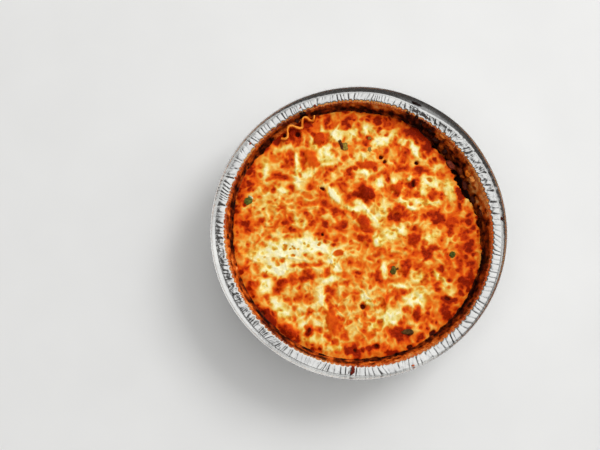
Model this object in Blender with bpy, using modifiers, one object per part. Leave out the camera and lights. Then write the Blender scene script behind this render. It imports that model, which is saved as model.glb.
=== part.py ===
"""Baked lasagna in its round foil pan. Metres, +Z up, pan axis on Z, base on Z = 0."""

import math
import random

import bmesh
import bpy
from mathutils import Matrix, Vector

# Foil pan. Its profile is the outer face of the foil.
FOIL = 0.00035
LIP_RADIUS = 0.0896
LIP_HEIGHT = 0.0448
FLANGE_OUTER = 0.0868
FLANGE_INNER = 0.0820
FLANGE_HEIGHT = 0.0420
WALL_TOP = (0.0812, 0.0412)
WALL_FOOT = (0.0708, 0.0044)
CORNER_MIDDLE = (0.0693, 0.0013)
FOOT_OUTER = 0.0660
FOOT_INNER = 0.0600
PANEL_RADIUS = 0.0584
PANEL_RISE = 0.0010
PLEATS = 80
PLEAT_DEPTH = 0.0006
FLUTE_DEPTH = 0.0003
OVAL = 0.008
OVAL_ANGLE = math.radians(135)

# The lip is bent out and down around one place.
BEND_ANGLE = math.radians(294)
BEND_SPREAD = math.radians(11)
BEND_OUT = 0.0016
BEND_DOWN = 0.0020

# Lasagna.
GAP = 0.0007
FOOD_FLOOR = PANEL_RISE + FOIL + 0.0003
FOOD_EDGE = 0.0325
FOOD_MOUND = 0.0026
MOUND_REACH = 0.050
SHOULDER_DROP = 0.0010
SHOULDER_REACH = 0.0045
CALM_REACH = 0.005
FOOD_CELLS = 48
BLISTERS = 52
BLISTER_SPACING = 0.0125
BLISTER_RADIUS = (0.0035, 0.0068)
BLISTER_HEIGHT = (0.0006, 0.0016)
SEED = 11

# Browned mounds that stand out, each as x, y, radius, height.
MOUNDS = (
    (0.0059, 0.0269, 0.0062, 0.0016),
    (0.0242, 0.0150, 0.0048, 0.0013),
    (0.0338, 0.0331, 0.0050, 0.0011),
    (0.0260, -0.0215, 0.0042, 0.0014),
)

# The top ends a little short of the wall, in a burnt gutter. Each swing of its outline is a middle
# angle, a spread and an amount: it has shrunk back most at one side and reaches the wall at another.
OUTLINE = 0.0757
OUTLINE_SWINGS = (
    (math.radians(24), math.radians(13), -0.0062),
    (math.radians(45), math.radians(9), -0.0030),
    (math.radians(143), math.radians(24), 0.0030),
)
GUTTER_RUN = 0.0022
GUTTER_DEPTH = (0.0040, 0.0070)
# Where it has baked up the wall, as middle angle, spread, rise, reach inward.
CLIMB = (math.radians(150), math.radians(20), 0.0028, 0.012)
# The hollow that the noodle's frill stands in, as middle angle, half width, depth, inner radius, slope.
POCKET = (math.radians(118), math.radians(14), 0.0062, 0.0705, 0.0030)

# Chopped green pepper, each as x, y, length, width, turn.
PEPPER_BITS = (
    (-0.0087, 0.0560, 0.0070, 0.0042, 105),
    (0.0055, 0.0534, 0.0048, 0.0034, 80),
    (-0.0670, 0.0212, 0.0056, 0.0050, 30),
    (0.0556, -0.0123, 0.0040, 0.0034, 60),
    (0.0212, -0.0215, 0.0052, 0.0040, 100),
    (0.0279, -0.0579, 0.0086, 0.0044, 5),
)
PEPPER_HEIGHT = 0.0032

# Frilled edge of the top noodle, as angle and radius of each crest and hollow along it.
FRILL_TURNS = (
    (math.radians(129.0), 0.0748),
    (math.radians(126.6), 0.0742),
    (math.radians(120.6), 0.0788),
    (math.radians(117.2), 0.0740),
    (math.radians(113.4), 0.0794),
    (math.radians(111.2), 0.0746),
    (math.radians(108.4), 0.0790),
    (math.radians(106.0), 0.0742),
)
FRILL_STEPS = 6
FRILL_FOOT = 0.0296
FRILL_TOP = 0.0396
FRILL_THICK = 0.0013
FRILL_CALM = 0.45


def smooth(value):
    """Ease from 0 to 1."""
    t = min(max(value, 0.0), 1.0)
    return t * t * (3 - 2 * t)


def turn_between(a, b):
    """Smallest angle between two directions."""
    return abs((a - b + math.pi) % math.tau - math.pi)


def oval(angle):
    """The pan is a little longer along one diagonal."""
    return 1 + OVAL * math.cos(2 * (angle - OVAL_ANGLE))


def clear_scene():
    for obj in list(bpy.data.objects):
        bpy.data.objects.remove(obj, do_unlink=True)


def make_collection(name):
    collection = bpy.data.collections.new(name)
    bpy.context.scene.collection.children.link(collection)
    return collection


def make_material(name, colour, roughness, metallic=0.0):
    material = bpy.data.materials.new(name)
    material.use_nodes = True
    shader = material.node_tree.nodes["Principled BSDF"]
    shader.inputs["Base Color"].default_value = (*colour, 1)
    shader.inputs["Roughness"].default_value = roughness
    shader.inputs["Metallic"].default_value = metallic
    return material


def add_object(name, mesh, collection, material):
    obj = bpy.data.objects.new(name, mesh)
    obj.data.materials.clear()
    obj.data.materials.append(material)
    collection.objects.link(obj)
    return obj


def applied(obj):
    """A plain mesh of the object with its modifiers done. The object itself is removed."""
    bpy.context.view_layer.update()
    graph = bpy.context.evaluated_depsgraph_get()
    mesh = bpy.data.meshes.new_from_object(obj.evaluated_get(graph))
    bpy.data.objects.remove(obj, do_unlink=True)
    return mesh


def pan_profile():
    """Outer face of the foil, from the lip down the wall to the middle of the base."""
    return (
        (LIP_RADIUS, LIP_HEIGHT),
        (FLANGE_OUTER, FLANGE_HEIGHT),
        (FLANGE_INNER, FLANGE_HEIGHT),
        WALL_TOP,
        WALL_FOOT,
        CORNER_MIDDLE,
        (FOOT_OUTER, 0.0),
        (FOOT_INNER, 0.0),
        (PANEL_RADIUS, PANEL_RISE),
        (0.0, PANEL_RISE),
    )


def spun_pan(collection, material):
    profile = bmesh.new()
    points = [profile.verts.new((radius, 0, height)) for radius, height in pan_profile()]
    for upper, lower in zip(points, points[1:]):
        profile.edges.new((upper, lower))
    mesh = bpy.data.meshes.new("pan_profile")
    profile.to_mesh(mesh)
    profile.free()
    obj = add_object("pan_profile", mesh, collection, material)
    screw = obj.modifiers.new("Turn", "SCREW")
    screw.axis = "Z"
    screw.angle = math.tau
    screw.steps = 2 * PLEATS
    screw.render_steps = 2 * PLEATS
    screw.use_merge_vertices = True
    screw.merge_threshold = 0.00001
    return applied(obj)


def pleated(point, pleat_depths):
    """One point of the turned pan, moved for its crimps, its oval form and the bend in its lip."""
    radius = math.hypot(point.x, point.y)
    height = point.z
    if radius < 1e-5:
        return point.copy()
    angle = math.atan2(point.y, point.x)
    step = round(angle / (math.pi / PLEATS)) % (2 * PLEATS)
    side = 1 if step % 2 else -1
    depth = pleat_depths[step // 2]
    on_flange = height >= FLANGE_HEIGHT - 1e-6 and radius <= FLANGE_OUTER + 1e-6
    on_lip = radius > FLANGE_OUTER + 1e-6
    if on_flange:
        height += side * depth
    elif on_lip:
        bend = math.exp(-((turn_between(angle, BEND_ANGLE) / BEND_SPREAD) ** 2))
        radius += BEND_OUT * bend
        height -= BEND_DOWN * bend
    else:
        up_wall = (height - WALL_FOOT[1]) / (WALL_TOP[1] - WALL_FOOT[1])
        radius += side * FLUTE_DEPTH * smooth(up_wall)
    radius *= oval(angle)
    return Vector((radius * math.cos(angle), radius * math.sin(angle), height))


def make_pan(collection, material):
    draw = random.Random(SEED)
    pleat_depths = [PLEAT_DEPTH * draw.uniform(0.5, 1.0) for _ in range(PLEATS)]
    mesh = spun_pan(collection, material)
    for vertex in mesh.vertices:
        vertex.co = pleated(vertex.co, pleat_depths)
    pan = add_object("foil_pan", mesh, collection, material)
    shell = pan.modifiers.new("Foil", "SOLIDIFY")
    shell.thickness = FOIL
    shell.offset = -1
    return pan


def wall_radius(height, angle):
    """Inner radius of the pan at this height, less the clearance of the filling."""
    up_wall = (height - WALL_FOOT[1]) / (WALL_TOP[1] - WALL_FOOT[1])
    radius = WALL_FOOT[0] + (WALL_TOP[0] - WALL_FOOT[0]) * up_wall
    return (radius - FOIL) * oval(angle) - GAP


def bump(angle, middle, spread):
    """A soft rise round one direction."""
    return math.exp(-((turn_between(angle, middle) / spread) ** 2))


def outline(angle):
    """Radius at which the top breaks off into the gutter."""
    return OUTLINE + sum(amount * bump(angle, middle, spread) for middle, spread, amount in OUTLINE_SWINGS)


def gutter_drop(distance, angle):
    """How far the top sinks at this distance from the axis, in the gutter and round the frill."""
    edge = outline(angle)
    shallow, deep = GUTTER_DEPTH
    depth = min(deep, shallow + (OUTLINE - edge if edge < OUTLINE else 0.0))
    drop = depth * smooth((distance - edge) / GUTTER_RUN)
    middle, half_width, pocket_depth, inner, slope = POCKET
    across = smooth(3 * (1.3 - turn_between(angle, middle) / half_width))
    return max(drop, pocket_depth * across * smooth((distance - inner) / slope))


def wall_climb(inward, angle):
    """How far the edge has baked up the wall."""
    middle, spread, rise, reach = CLIMB
    return rise * bump(angle, middle, spread) * smooth(1 - inward / reach)


def shoulder_drop(inward, angle):
    """The edge of the top rounds over, a little unevenly."""
    uneven = 1 + 0.35 * math.sin(9 * angle + 1) + 0.25 * math.sin(17 * angle + 2)
    return SHOULDER_DROP * uneven * smooth(1 - inward / SHOULDER_REACH)


def scatter_blisters():
    """Random browned blisters, none of them crowding another, after the named mounds."""
    draw = random.Random(SEED)
    found = list(MOUNDS)
    limit = WALL_TOP[0] - 0.010
    for _ in range(4000):
        if len(found) == len(MOUNDS) + BLISTERS:
            break
        distance = limit * math.sqrt(draw.random())
        angle = draw.uniform(0, math.tau)
        x = distance * math.cos(angle)
        y = distance * math.sin(angle)
        radius = draw.uniform(*BLISTER_RADIUS)
        height = draw.uniform(*BLISTER_HEIGHT)
        if all(math.hypot(x - other[0], y - other[1]) > BLISTER_SPACING for other in found):
            found.append((x, y, radius, height))
    return found


def top_height(x, y, rim, blisters):
    """Height of the baked top at a place, where rim is the top's own radius in that direction."""
    distance = math.hypot(x, y)
    angle = math.atan2(y, x)
    inward = max(rim - distance, 0.0)
    height = FOOD_EDGE + FOOD_MOUND * smooth(inward / MOUND_REACH)
    height += wall_climb(inward, angle) - shoulder_drop(inward, angle)
    calm = smooth(inward / CALM_REACH)
    for bx, by, radius, rise in blisters:
        away = math.hypot(x - bx, y - by) / radius
        height += calm * rise * math.exp(-1.4 * away * away)
    return height - gutter_drop(distance, angle)


def disc_from_square(u, v):
    """A square's point as a fraction of the radius and an angle, so that a grid covers a disc evenly."""
    if u == 0 and v == 0:
        return 0.0, 0.0
    if abs(u) > abs(v):
        fraction = u
        angle = math.pi / 4 * (v / u)
    else:
        fraction = v
        angle = math.pi / 2 - math.pi / 4 * (u / v)
    if fraction < 0:
        return -fraction, angle + math.pi
    return fraction, angle


def rim_of_top(angle):
    """Radius at which the falling edge of the top meets the pan's wall."""
    edge = FOOD_EDGE + wall_climb(0.0, angle) - shoulder_drop(0.0, angle)
    inner, outer = WALL_FOOT[0], WALL_TOP[0]
    for _ in range(24):
        middle = (inner + outer) / 2
        if middle < wall_radius(edge - gutter_drop(middle, angle), angle):
            inner = middle
        else:
            outer = middle
    return (inner + outer) / 2


def lasagna_body(blisters):
    """Baked top from a grid, then sides that follow the pan down to a flat base."""
    shape = bmesh.new()
    bmesh.ops.create_grid(shape, x_segments=FOOD_CELLS, y_segments=FOOD_CELLS, size=1)
    for vertex in shape.verts:
        fraction, angle = disc_from_square(vertex.co.x, vertex.co.y)
        rim = rim_of_top(angle)
        x = fraction * rim * math.cos(angle)
        y = fraction * rim * math.sin(angle)
        vertex.co = Vector((x, y, top_height(x, y, rim, blisters)))
    edges = [edge for edge in shape.edges if edge.is_boundary]
    for height, spare in ((WALL_FOOT[1], 0.0), (FOOD_FLOOR, 0.0022)):
        grown = bmesh.ops.extrude_edge_only(shape, edges=edges)["geom"]
        for vertex in (item for item in grown if isinstance(item, bmesh.types.BMVert)):
            angle = math.atan2(vertex.co.y, vertex.co.x)
            radius = wall_radius(max(height, WALL_FOOT[1]), angle) - spare
            vertex.co = Vector((radius * math.cos(angle), radius * math.sin(angle), height))
        edges = [item for item in grown if isinstance(item, bmesh.types.BMEdge)]
    bmesh.ops.contextual_create(shape, geom=edges)
    bmesh.ops.triangulate(shape, faces=shape.faces[:])
    bmesh.ops.recalc_face_normals(shape, faces=shape.faces[:])
    mesh = bpy.data.meshes.new("lasagna")
    shape.to_mesh(mesh)
    shape.free()
    return mesh


def make_pepper_bit(place, blisters, collection, material):
    """A small chopped cube with soft corners, half sunk in the cheese."""
    x, y, length, width, turn = place
    shape = bmesh.new()
    bmesh.ops.create_icosphere(shape, subdivisions=2, radius=0.5)
    for vertex in shape.verts:
        boxy = max(abs(vertex.co.x), abs(vertex.co.y), abs(vertex.co.z))
        vertex.co *= 0.75 + 0.25 * 0.5 / boxy
    height = top_height(x, y, rim_of_top(math.atan2(y, x)), blisters)
    spot = Matrix.Translation((x, y, height + 0.0001))
    size = Matrix.Diagonal((length, width, PEPPER_HEIGHT, 1))
    shape.transform(spot @ Matrix.Rotation(math.radians(turn), 4, "Z") @ size)
    mesh = bpy.data.meshes.new("pepper_bit")
    shape.to_mesh(mesh)
    shape.free()
    return add_object("pepper_bit", mesh, collection, material)


def make_lasagna(collection, material):
    blisters = scatter_blisters()
    bits = make_collection("pepper_bits")
    bits.hide_render = True
    for place in PEPPER_BITS:
        make_pepper_bit(place, blisters, bits, material)
    body = add_object("lasagna_body", lasagna_body(blisters), collection, material)
    join = body.modifiers.new("Pepper", "BOOLEAN")
    join.operation = "UNION"
    join.operand_type = "COLLECTION"
    join.collection = bits
    mesh = applied(body)
    for bit in list(bits.objects):
        bpy.data.objects.remove(bit, do_unlink=True)
    bpy.data.collections.remove(bits)
    return add_object("lasagna", mesh, collection, material)


def frill_path():
    """Angle and radius along the noodle's free edge, eased from each crest to the next hollow."""
    path = []
    for (angle_a, radius_a), (angle_b, radius_b) in zip(FRILL_TURNS, FRILL_TURNS[1:]):
        for step in range(FRILL_STEPS):
            share = step / FRILL_STEPS
            swing = 0.5 - 0.5 * math.cos(math.pi * share)
            path.append((angle_a + (angle_b - angle_a) * share, radius_a + (radius_b - radius_a) * swing))
    path.append(FRILL_TURNS[-1])
    return path


def make_frill(collection, material):
    """The ruffled strip of pasta. Its waves are calmer at the foot than at the free edge."""
    shape = bmesh.new()
    middle = sum(radius for _, radius in FRILL_TURNS) / len(FRILL_TURNS) - 0.0012
    rows = []
    for share in (0.0, 0.5, 1.0):
        height = FRILL_FOOT + (FRILL_TOP - FRILL_FOOT) * share
        swing = FRILL_CALM + (1 - FRILL_CALM) * share
        row = []
        for angle, radius in frill_path():
            reach = middle + (radius - middle) * swing
            row.append(shape.verts.new((reach * math.cos(angle), reach * math.sin(angle), height)))
        rows.append(row)
    for lower, upper in zip(rows, rows[1:]):
        for index in range(len(lower) - 1):
            shape.faces.new((lower[index], lower[index + 1], upper[index + 1], upper[index]))
    mesh = bpy.data.meshes.new("noodle_frill")
    shape.to_mesh(mesh)
    shape.free()
    frill = add_object("noodle_frill", mesh, collection, material)
    strip = frill.modifiers.new("Pasta", "SOLIDIFY")
    strip.thickness = FRILL_THICK
    strip.offset = 0
    return frill


def main():
    clear_scene()
    lasagna = make_collection("lasagna_in_foil_pan")
    foil = make_material("foil", (0.78, 0.79, 0.80), 0.32, metallic=1.0)
    cheese = make_material("baked_cheese", (0.80, 0.30, 0.06), 0.38)
    pasta = make_material("pasta", (0.90, 0.42, 0.10), 0.42)
    make_pan(lasagna, foil)
    make_lasagna(lasagna, cheese)
    make_frill(lasagna, pasta)


main()
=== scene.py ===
import math
import random

import bmesh
import bpy
import numpy as np
from mathutils import Matrix, Vector


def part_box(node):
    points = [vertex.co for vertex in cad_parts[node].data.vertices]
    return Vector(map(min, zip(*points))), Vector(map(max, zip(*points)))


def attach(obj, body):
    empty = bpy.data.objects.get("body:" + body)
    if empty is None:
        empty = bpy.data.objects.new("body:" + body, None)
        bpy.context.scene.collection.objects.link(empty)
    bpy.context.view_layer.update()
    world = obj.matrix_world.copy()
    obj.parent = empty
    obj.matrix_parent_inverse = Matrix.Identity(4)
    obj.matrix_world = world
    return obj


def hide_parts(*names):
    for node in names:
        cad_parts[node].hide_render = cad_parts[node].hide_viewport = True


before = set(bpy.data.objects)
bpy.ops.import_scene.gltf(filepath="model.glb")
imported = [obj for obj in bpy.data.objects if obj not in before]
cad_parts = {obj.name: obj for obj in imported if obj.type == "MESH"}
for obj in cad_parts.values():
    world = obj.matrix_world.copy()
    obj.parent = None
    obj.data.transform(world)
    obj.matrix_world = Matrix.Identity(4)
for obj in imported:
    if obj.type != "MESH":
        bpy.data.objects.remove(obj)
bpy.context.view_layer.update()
mm = 0.001  # food and foil are worked out in millimetres, then scaled once
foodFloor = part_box("lasagna")[0][2] / mm
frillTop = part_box("noodle_frill")[1][2] / mm
fullTurn = 2 * math.pi


def ease(value):
    # a soft step from 0 to 1
    t = np.clip(value, 0.0, 1.0)
    return t * t * (3 - 2 * t)


def onCircle(radius, angle):
    # x and y of a place given by its distance from the pan's axis and its direction
    return radius * np.cos(angle), radius * np.sin(angle)


def lattice(i, j, seed):
    # one repeatable random number from 0 to 1 for each grid corner, from large odd factors and shifts
    n = (i.astype(np.int64) * 374761393 + j.astype(np.int64) * 668265263 + seed * 362437) & 0x7FFFFFFF
    n = ((n ^ (n >> 13)) * 1274126177) & 0x7FFFFFFF
    n = ((n ^ (n >> 15)) * 461845907) & 0x7FFFFFFF
    return ((n ^ (n >> 16)) & 0xFFFFFF) / float(0xFFFFFF)


def cellsNear(x, y, size, reach):
    # each place in cell sizes, with the cells of a square grid round it in turn
    u, v = x / size, y / size
    i, j = np.floor(u), np.floor(v)
    for di in reach:
        for dj in reach:
            yield u, v, i + di, j + dj


def ripple(x, y, size, seed):
    # smooth random hills, about -1 to 1, with hills this far apart
    total = 0.0
    for u, v, i, j in cellsNear(x, y, size, (0, 1)):
        turn = lattice(i, j, seed) * fullTurn
        du, dv = u - i, v - j
        total = total + ease(1 - abs(du)) * ease(1 - abs(dv)) * (np.cos(turn) * du + np.sin(turn) * dv)
    return total * 1.6


def layers(x, y, size, seed, count=3, fade=0.5):
    # hills with smaller and weaker hills on them
    total, strength, whole = 0.0, 1.0, 0.0
    for step in range(count):
        total = total + strength * ripple(x, y, size / 2 ** step, seed + 17 * step)
        whole += strength
        strength *= fade
    return total / whole


def web(x, y, seed, size, sharp):
    # thin wandering lines, 1 along their middles
    return np.clip(1 - sharp * np.abs(ripple(x, y, size, seed)), 0, 1)


def pebbles(x, y, size, seed):
    # distance to the nearest of scattered points, in cell sizes, and a random number for that point
    first, label = 9.0, 0.0
    for u, v, i, j in cellsNear(x, y, size, (-1, 0, 1)):
        px = i + 0.5 + 0.8 * (lattice(i, j, seed) - 0.5)
        py = j + 0.5 + 0.8 * (lattice(i, j, seed + 5) - 0.5)
        away = np.hypot(u - px, v - py)
        near = away < first
        label = np.where(near, lattice(i, j, seed + 9), label)
        first = np.where(near, away, first)
    return first, label


def scattered(x, y, seed, size, low, high, share):
    # soft round spots, 0 to 1: low and high are radii, and share is how many cells of this size hold one
    total = 0.0
    for u, v, i, j in cellsNear(x, y, size, (-1, 0, 1)):
        away = np.hypot(u - i - lattice(i, j, seed), v - j - lattice(i, j, seed + 5)) * size
        radius = low + (high - low) * lattice(i, j, seed + 9) ** 1.4
        pick = lattice(i, j, seed + 13)
        strength = (pick < share) * (0.5 + 0.5 * pick / share)
        total = np.maximum(total, ease((1.3 - away / radius) / 0.7) * strength)
    return total


def turnBetween(a, b):
    # angle between two directions, the shorter way round
    return np.abs((a - b + math.pi) % fullTurn - math.pi)


def bump(angle, middle, spread):
    # 1 at the middle of a stretch of the pan, fading to 0 past its spread; both in degrees
    return np.exp(-((turnBetween(angle, math.radians(middle)) / math.radians(spread)) ** 2))


def swell(angle, humps):
    # sum of such stretches, each with its amount
    return sum(amount * bump(angle, middle, spread) for middle, spread, amount in humps)


def linear(colour):
    # screen colour, 0 to 255, to the linear values that shaders take
    parts = [c / 255 for c in colour]
    return tuple(p / 12.92 if p <= 0.04045 else ((p + 0.055) / 1.055) ** 2.4 for p in parts) + (1.0,)


def makePiece(name, points, faces, material, values=None):
    # a mesh with a number for each point under each of the values' names
    mesh = bpy.data.meshes.new(name)
    mesh.from_pydata([tuple(p) for p in points], [], faces)
    mesh.update()
    for key, numbers in (values or {}).items():
        layer = mesh.attributes.new(key, "FLOAT", "POINT")
        layer.data.foreach_set("value", np.ascontiguousarray(numbers, dtype=np.float32))
    return asObject(name, mesh, material)


def asObject(name, mesh, material):
    mesh.polygons.foreach_set("use_smooth", [True] * len(mesh.polygons))
    mesh.materials.append(material)
    piece = bpy.data.objects.new(name, mesh)
    bpy.context.scene.collection.objects.link(piece)
    return piece


def fixNormals(piece):
    shape = bmesh.new()
    shape.from_mesh(piece.data)
    bmesh.ops.recalc_face_normals(shape, faces=shape.faces[:])
    shape.to_mesh(piece.data)
    shape.free()


def ringFaces(rows, around):
    # quads between rings of points stored row after row
    faces = []
    for row in range(rows - 1):
        for k in range(around):
            a = row * around + k
            b = row * around + (k + 1) % around
            faces.append((a, b, b + around, a + around))
    return faces


class Shade:
    # a material with short calls for the nodes that it needs

    def __init__(self, name):
        self.material = bpy.data.materials.new(name)
        self.material.use_nodes = True
        self.tree = self.material.node_tree
        self.shader = self.tree.nodes["Principled BSDF"]

    def feed(self, socket, value):
        if isinstance(value, bpy.types.NodeSocket):
            self.tree.links.new(value, socket)
        elif value is not None:
            socket.default_value = value

    def add(self, kind, **settings):
        made = self.tree.nodes.new(kind)
        for key, value in settings.items():
            setattr(made, key, value)
        return made

    def value(self, name):
        return self.add("ShaderNodeAttribute", attribute_name=name).outputs["Fac"]

    def noise(self, size, detail=2.0, rough=0.5, warp=0.0):
        # size is in metres
        made = self.add("ShaderNodeTexNoise")
        self.feed(made.inputs["Vector"], self.add("ShaderNodeTexCoord").outputs["Object"])
        made.inputs["Scale"].default_value = 1 / size
        made.inputs["Detail"].default_value = detail
        made.inputs["Roughness"].default_value = rough
        made.inputs["Distortion"].default_value = warp
        return made.outputs["Fac"]

    def math(self, operation, a, b):
        made = self.add("ShaderNodeMath", operation=operation)
        self.feed(made.inputs[0], a)
        self.feed(made.inputs[1], b)
        return made.outputs[0]

    def stirred(self, value, noise, amount):
        # the value raised and lowered by the noise
        return self.math("ADD", value, self.math("MULTIPLY", self.math("SUBTRACT", noise, 0.5), amount))

    def span(self, value, low, high, outLow=0.0, outHigh=1.0):
        made = self.add("ShaderNodeMapRange", clamp=True)
        for socket, number in zip(made.inputs, (value, low, high, outLow, outHigh)):
            self.feed(socket, number)
        return made.outputs[0]

    def ramp(self, value, stops):
        made = self.add("ShaderNodeValToRGB")
        ramp = made.color_ramp
        while len(ramp.elements) < len(stops):
            ramp.elements.new(0.5)
        for element, (place, colour) in zip(ramp.elements, stops):
            element.position = place
            element.color = linear(colour)
        self.feed(made.inputs["Fac"], value)
        return made.outputs["Color"]

    def blend(self, amount, a, b):
        made = self.add("ShaderNodeMix", data_type="RGBA")
        self.feed(made.inputs["Factor"], amount)
        self.feed(made.inputs["A"], a)
        self.feed(made.inputs["B"], b)
        return made.outputs["Result"]

    def bumped(self, height, strength, distance, after=None):
        made = self.add("ShaderNodeBump")
        made.inputs["Strength"].default_value = strength
        made.inputs["Distance"].default_value = distance
        self.feed(made.inputs["Height"], height)
        if after is not None:
            self.feed(made.inputs["Normal"], after)
        return made.outputs["Normal"]

    def finish(self, colour, roughness, metallic=0.0, normal=None, **fixed):
        self.feed(self.shader.inputs["Base Color"], colour)
        self.feed(self.shader.inputs["Roughness"], roughness)
        self.feed(self.shader.inputs["Metallic"], metallic)
        if normal is not None:
            self.feed(self.shader.inputs["Normal"], normal)
        for key, number in fixed.items():
            self.shader.inputs[key.replace("_", " ")].default_value = number
        return self.material


# folded foil; lengths in millimetres, and uneven places as angle, spread in degrees, and how much
foilPan = {
    "around": 1320,          # points round the pan
    "crimps": 196,           # pleats round the flange
    "crimpDepth": (0.28, 1.05),
    "crimpUneven": 0.62,
    "crimpLean": (2.6, 15.0, 5.0),   # degrees that pleats slant, and the two lengths over which that varies
    "crimpSwell": 13.0,      # length over which they grow deeper and shallower
    "crumpled": ((46, 24, 1.0), (22, 14, 0.6), (200, 24, 0.85), (300, 16, 0.45), (160, 9, 0.5)),
    "calmer": (290, 45, 0.40),   # shallower pleats here
    "dents": (0.16, 0.64, 3.0),      # depth of small dents, how much more where crumpled, and their size
    "crown": 0.32,           # the flange is a little arched across
    "flatter": ((248, 28, 0.34), (210, 16, 0.22), (42, 30, 0.36), (84, 14, 0.15)),   # but less so here
    "tilt": ((60, 10, 1.5), (20, 28, 0.80), (186, 15, -0.95)),   # it rises or falls outward here
    "lipFlare": ((52, 30, 0.7), (26, 12, -0.3), (232, 24, -0.8), (300, 38, -1.0)),   # lip leans out, or in
    "lipLow": ((108, 26, 0.4), (205, 30, 0.8), (296, 9, 0.9)),   # lip is pressed down
    "lipWide": ((61, 13, 2.2), (38, 16, 0.3), (102, 26, 1.1), (0, 20, 0.4), (204, 28, 0.9)),   # and is wider
    "lipDips": (0.5, 26.0, 9.0),     # depth, and the lengths of the two waves that make them
    "lipNicks": (0.07, 3.4),     # depth and length
    "fluteDepth": 0.50,      # how far the pleats carry on into the wall
    "fluteTop": 0.42,        # and how much more at its top, as a share of their depth
    "wallWrinkle": (0.14, 6.0),  # height and length
    "baseWave": (0.12, 22.0),
    "thickness": 0.22,
    "oval": 0.008,           # share by which the wall is out of round, and the way it is longest
    "ovalAt": 135,
    "lip": (89.25, 44.3),    # radius and height
    "hem": ((-0.42, -0.14), (-0.26, 0.02), (-0.08, 0.05), (0.08, -0.04), (0.12, -0.25)),   # from the lip
    "flange": (81.8, 86.9, 42.05),   # inner and outer radius, and height
    "fold": (0.55, 0.5),     # depth and width of the groove between flange and lip
    "wallTop": (80.9, 41.45),
    "wallFoot": (70.6, 4.6),
    "corner": 4.6,           # radius of the bend between wall and base
    "footRing": (66.0, 60.0),    # outer and inner radius
    "panel": (58.4, 1.0),
    "noiseAt": 85,           # wrinkles round the rim are worked out on a circle of this radius
    "filmTop": 41.2,         # sauce baked on the wall reaches this high
    "filmAt": 80,            # and its edge is worked out on a circle of this radius
    "metal": ((0.3, (221, 221, 220)), (0.7, (236, 236, 234))),
    "seed": 5,
}


def line(start, end, count):
    # points from start up to but not at the end
    return [(start[0] + (end[0] - start[0]) * k / count, start[1] + (end[1] - start[1]) * k / count)
            for k in range(count)]


def archAt(share, p):
    # rise of the flange at this share of its width
    return p["crown"] * (1 - (2 * share - 1) ** 2)


def foilFace(p, lift, counts):
    # one face of the foil from the middle of the base up to the lip; lift is the foil's thickness inside,
    # and counts are the points across the panel, foot ring, corner, wall, flange and lip
    lipR, lipZ = p["lip"]
    flangeIn, flangeOut, flangeZ = p["flange"]
    wallR, wallZ = p["wallTop"]
    footR, footZ = p["wallFoot"]
    ringOut, ringIn = p["footRing"]
    panelR, panelZ = p["panel"]
    onPanel, onRing, onCorner, onWall, across, onLip = counts
    path = line((0.0, panelZ + lift), (panelR, panelZ + lift), onPanel)
    path += line((panelR, panelZ + lift), (ringIn, lift), 1)
    path += line((ringIn, lift), (ringOut, lift), onRing)
    path += [(footR - lift - p["corner"] * (1 - math.sin(a)), lift + p["corner"] * (1 - math.cos(a)))
             for a in np.linspace(0.15, 1.35, onCorner)]
    path += line((footR - lift, footZ), (wallR - lift, wallZ), onWall)
    path += [(wallR - lift, wallZ), (wallR - lift + 0.35, flangeZ - 0.25 + lift)]
    for k in range(across + 1):
        share = k / across
        path.append((flangeIn + (flangeOut - flangeIn) * share - lift, flangeZ + lift + archAt(share, p)))
    depth, width = p["fold"]
    path.append((flangeOut + 0.5 * width - lift, flangeZ + lift - depth * 0.8))
    path.append((flangeOut + width - lift, flangeZ + lift - depth))
    for k in range(1, onLip + 1):
        share = k / (onLip + 1)
        path.append((flangeOut + width + (lipR - flangeOut - width) * share - lift,
                     flangeZ - depth + lift + (lipZ - 0.25 - flangeZ + depth) * share))
    return path


def acrossFlange(radius, p):
    # 0 at the flange's inner edge and 1 at its outer edge
    flangeIn, flangeOut = p["flange"][:2]
    return np.clip((radius - flangeIn) / (flangeOut - flangeIn), 0, 1)


def crimpShape(angle, radius, p):
    # uneven pleats, 0 in a fold and 1 on its crest, the depth of each, and how crumpled the place is
    seed = p["seed"]
    draw = random.Random(seed)

    def drawn(low, high):
        return np.array([draw.uniform(low, high) for _ in range(p["crimps"])])

    widths = drawn(1 - p["crimpUneven"], 1 + p["crimpUneven"])
    edges = np.concatenate([[0.0], np.cumsum(widths) / widths.sum()]) * fullTurn
    depths = drawn(*p["crimpDepth"])
    crests = drawn(0.25, 0.75)
    crumpled = np.clip(swell(angle, p["crumpled"]), 0, 1)
    cx, cy = onCircle(p["noiseAt"], angle)
    most, long, short = p["crimpLean"]
    slant = ripple(cx, cy, long, seed + 3) + 0.8 * crumpled * ripple(cx, cy, short, seed + 4)
    lean = math.radians(most) * slant
    shifted = (angle + lean * (acrossFlange(radius, p) - 0.3)) % fullTurn
    pleat = np.clip(np.searchsorted(edges, shifted, side="right") - 1, 0, p["crimps"] - 1)
    inside = (shifted - edges[pleat]) / (edges[pleat + 1] - edges[pleat])
    rise = np.where(inside < crests[pleat], inside / crests[pleat], (1 - inside) / (1 - crests[pleat]))
    flatness = 3.2 - 2.0 * crumpled
    deeper = ease(0.55 + ripple(cx, cy, p["crimpSwell"], seed + 6))
    depth = depths[pleat] * (0.60 + 0.6 * deeper + 0.5 * crumpled)
    middle, spread, share = p["calmer"]
    depth = depth * (1 - share * bump(angle, middle, spread))
    return 1 - (1 - rise) ** flatness, depth, crumpled


def slopeRadius(height, foot, top):
    # radius of a sloping wall at this height
    return foot[0] + (top[0] - foot[0]) * (height - foot[1]) / (top[1] - foot[1])


def ovalAt(angle):
    # how much wider than round the pan is in this direction
    return foilPan["oval"] * np.cos(2 * (angle - math.radians(foilPan["ovalAt"])))


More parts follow.
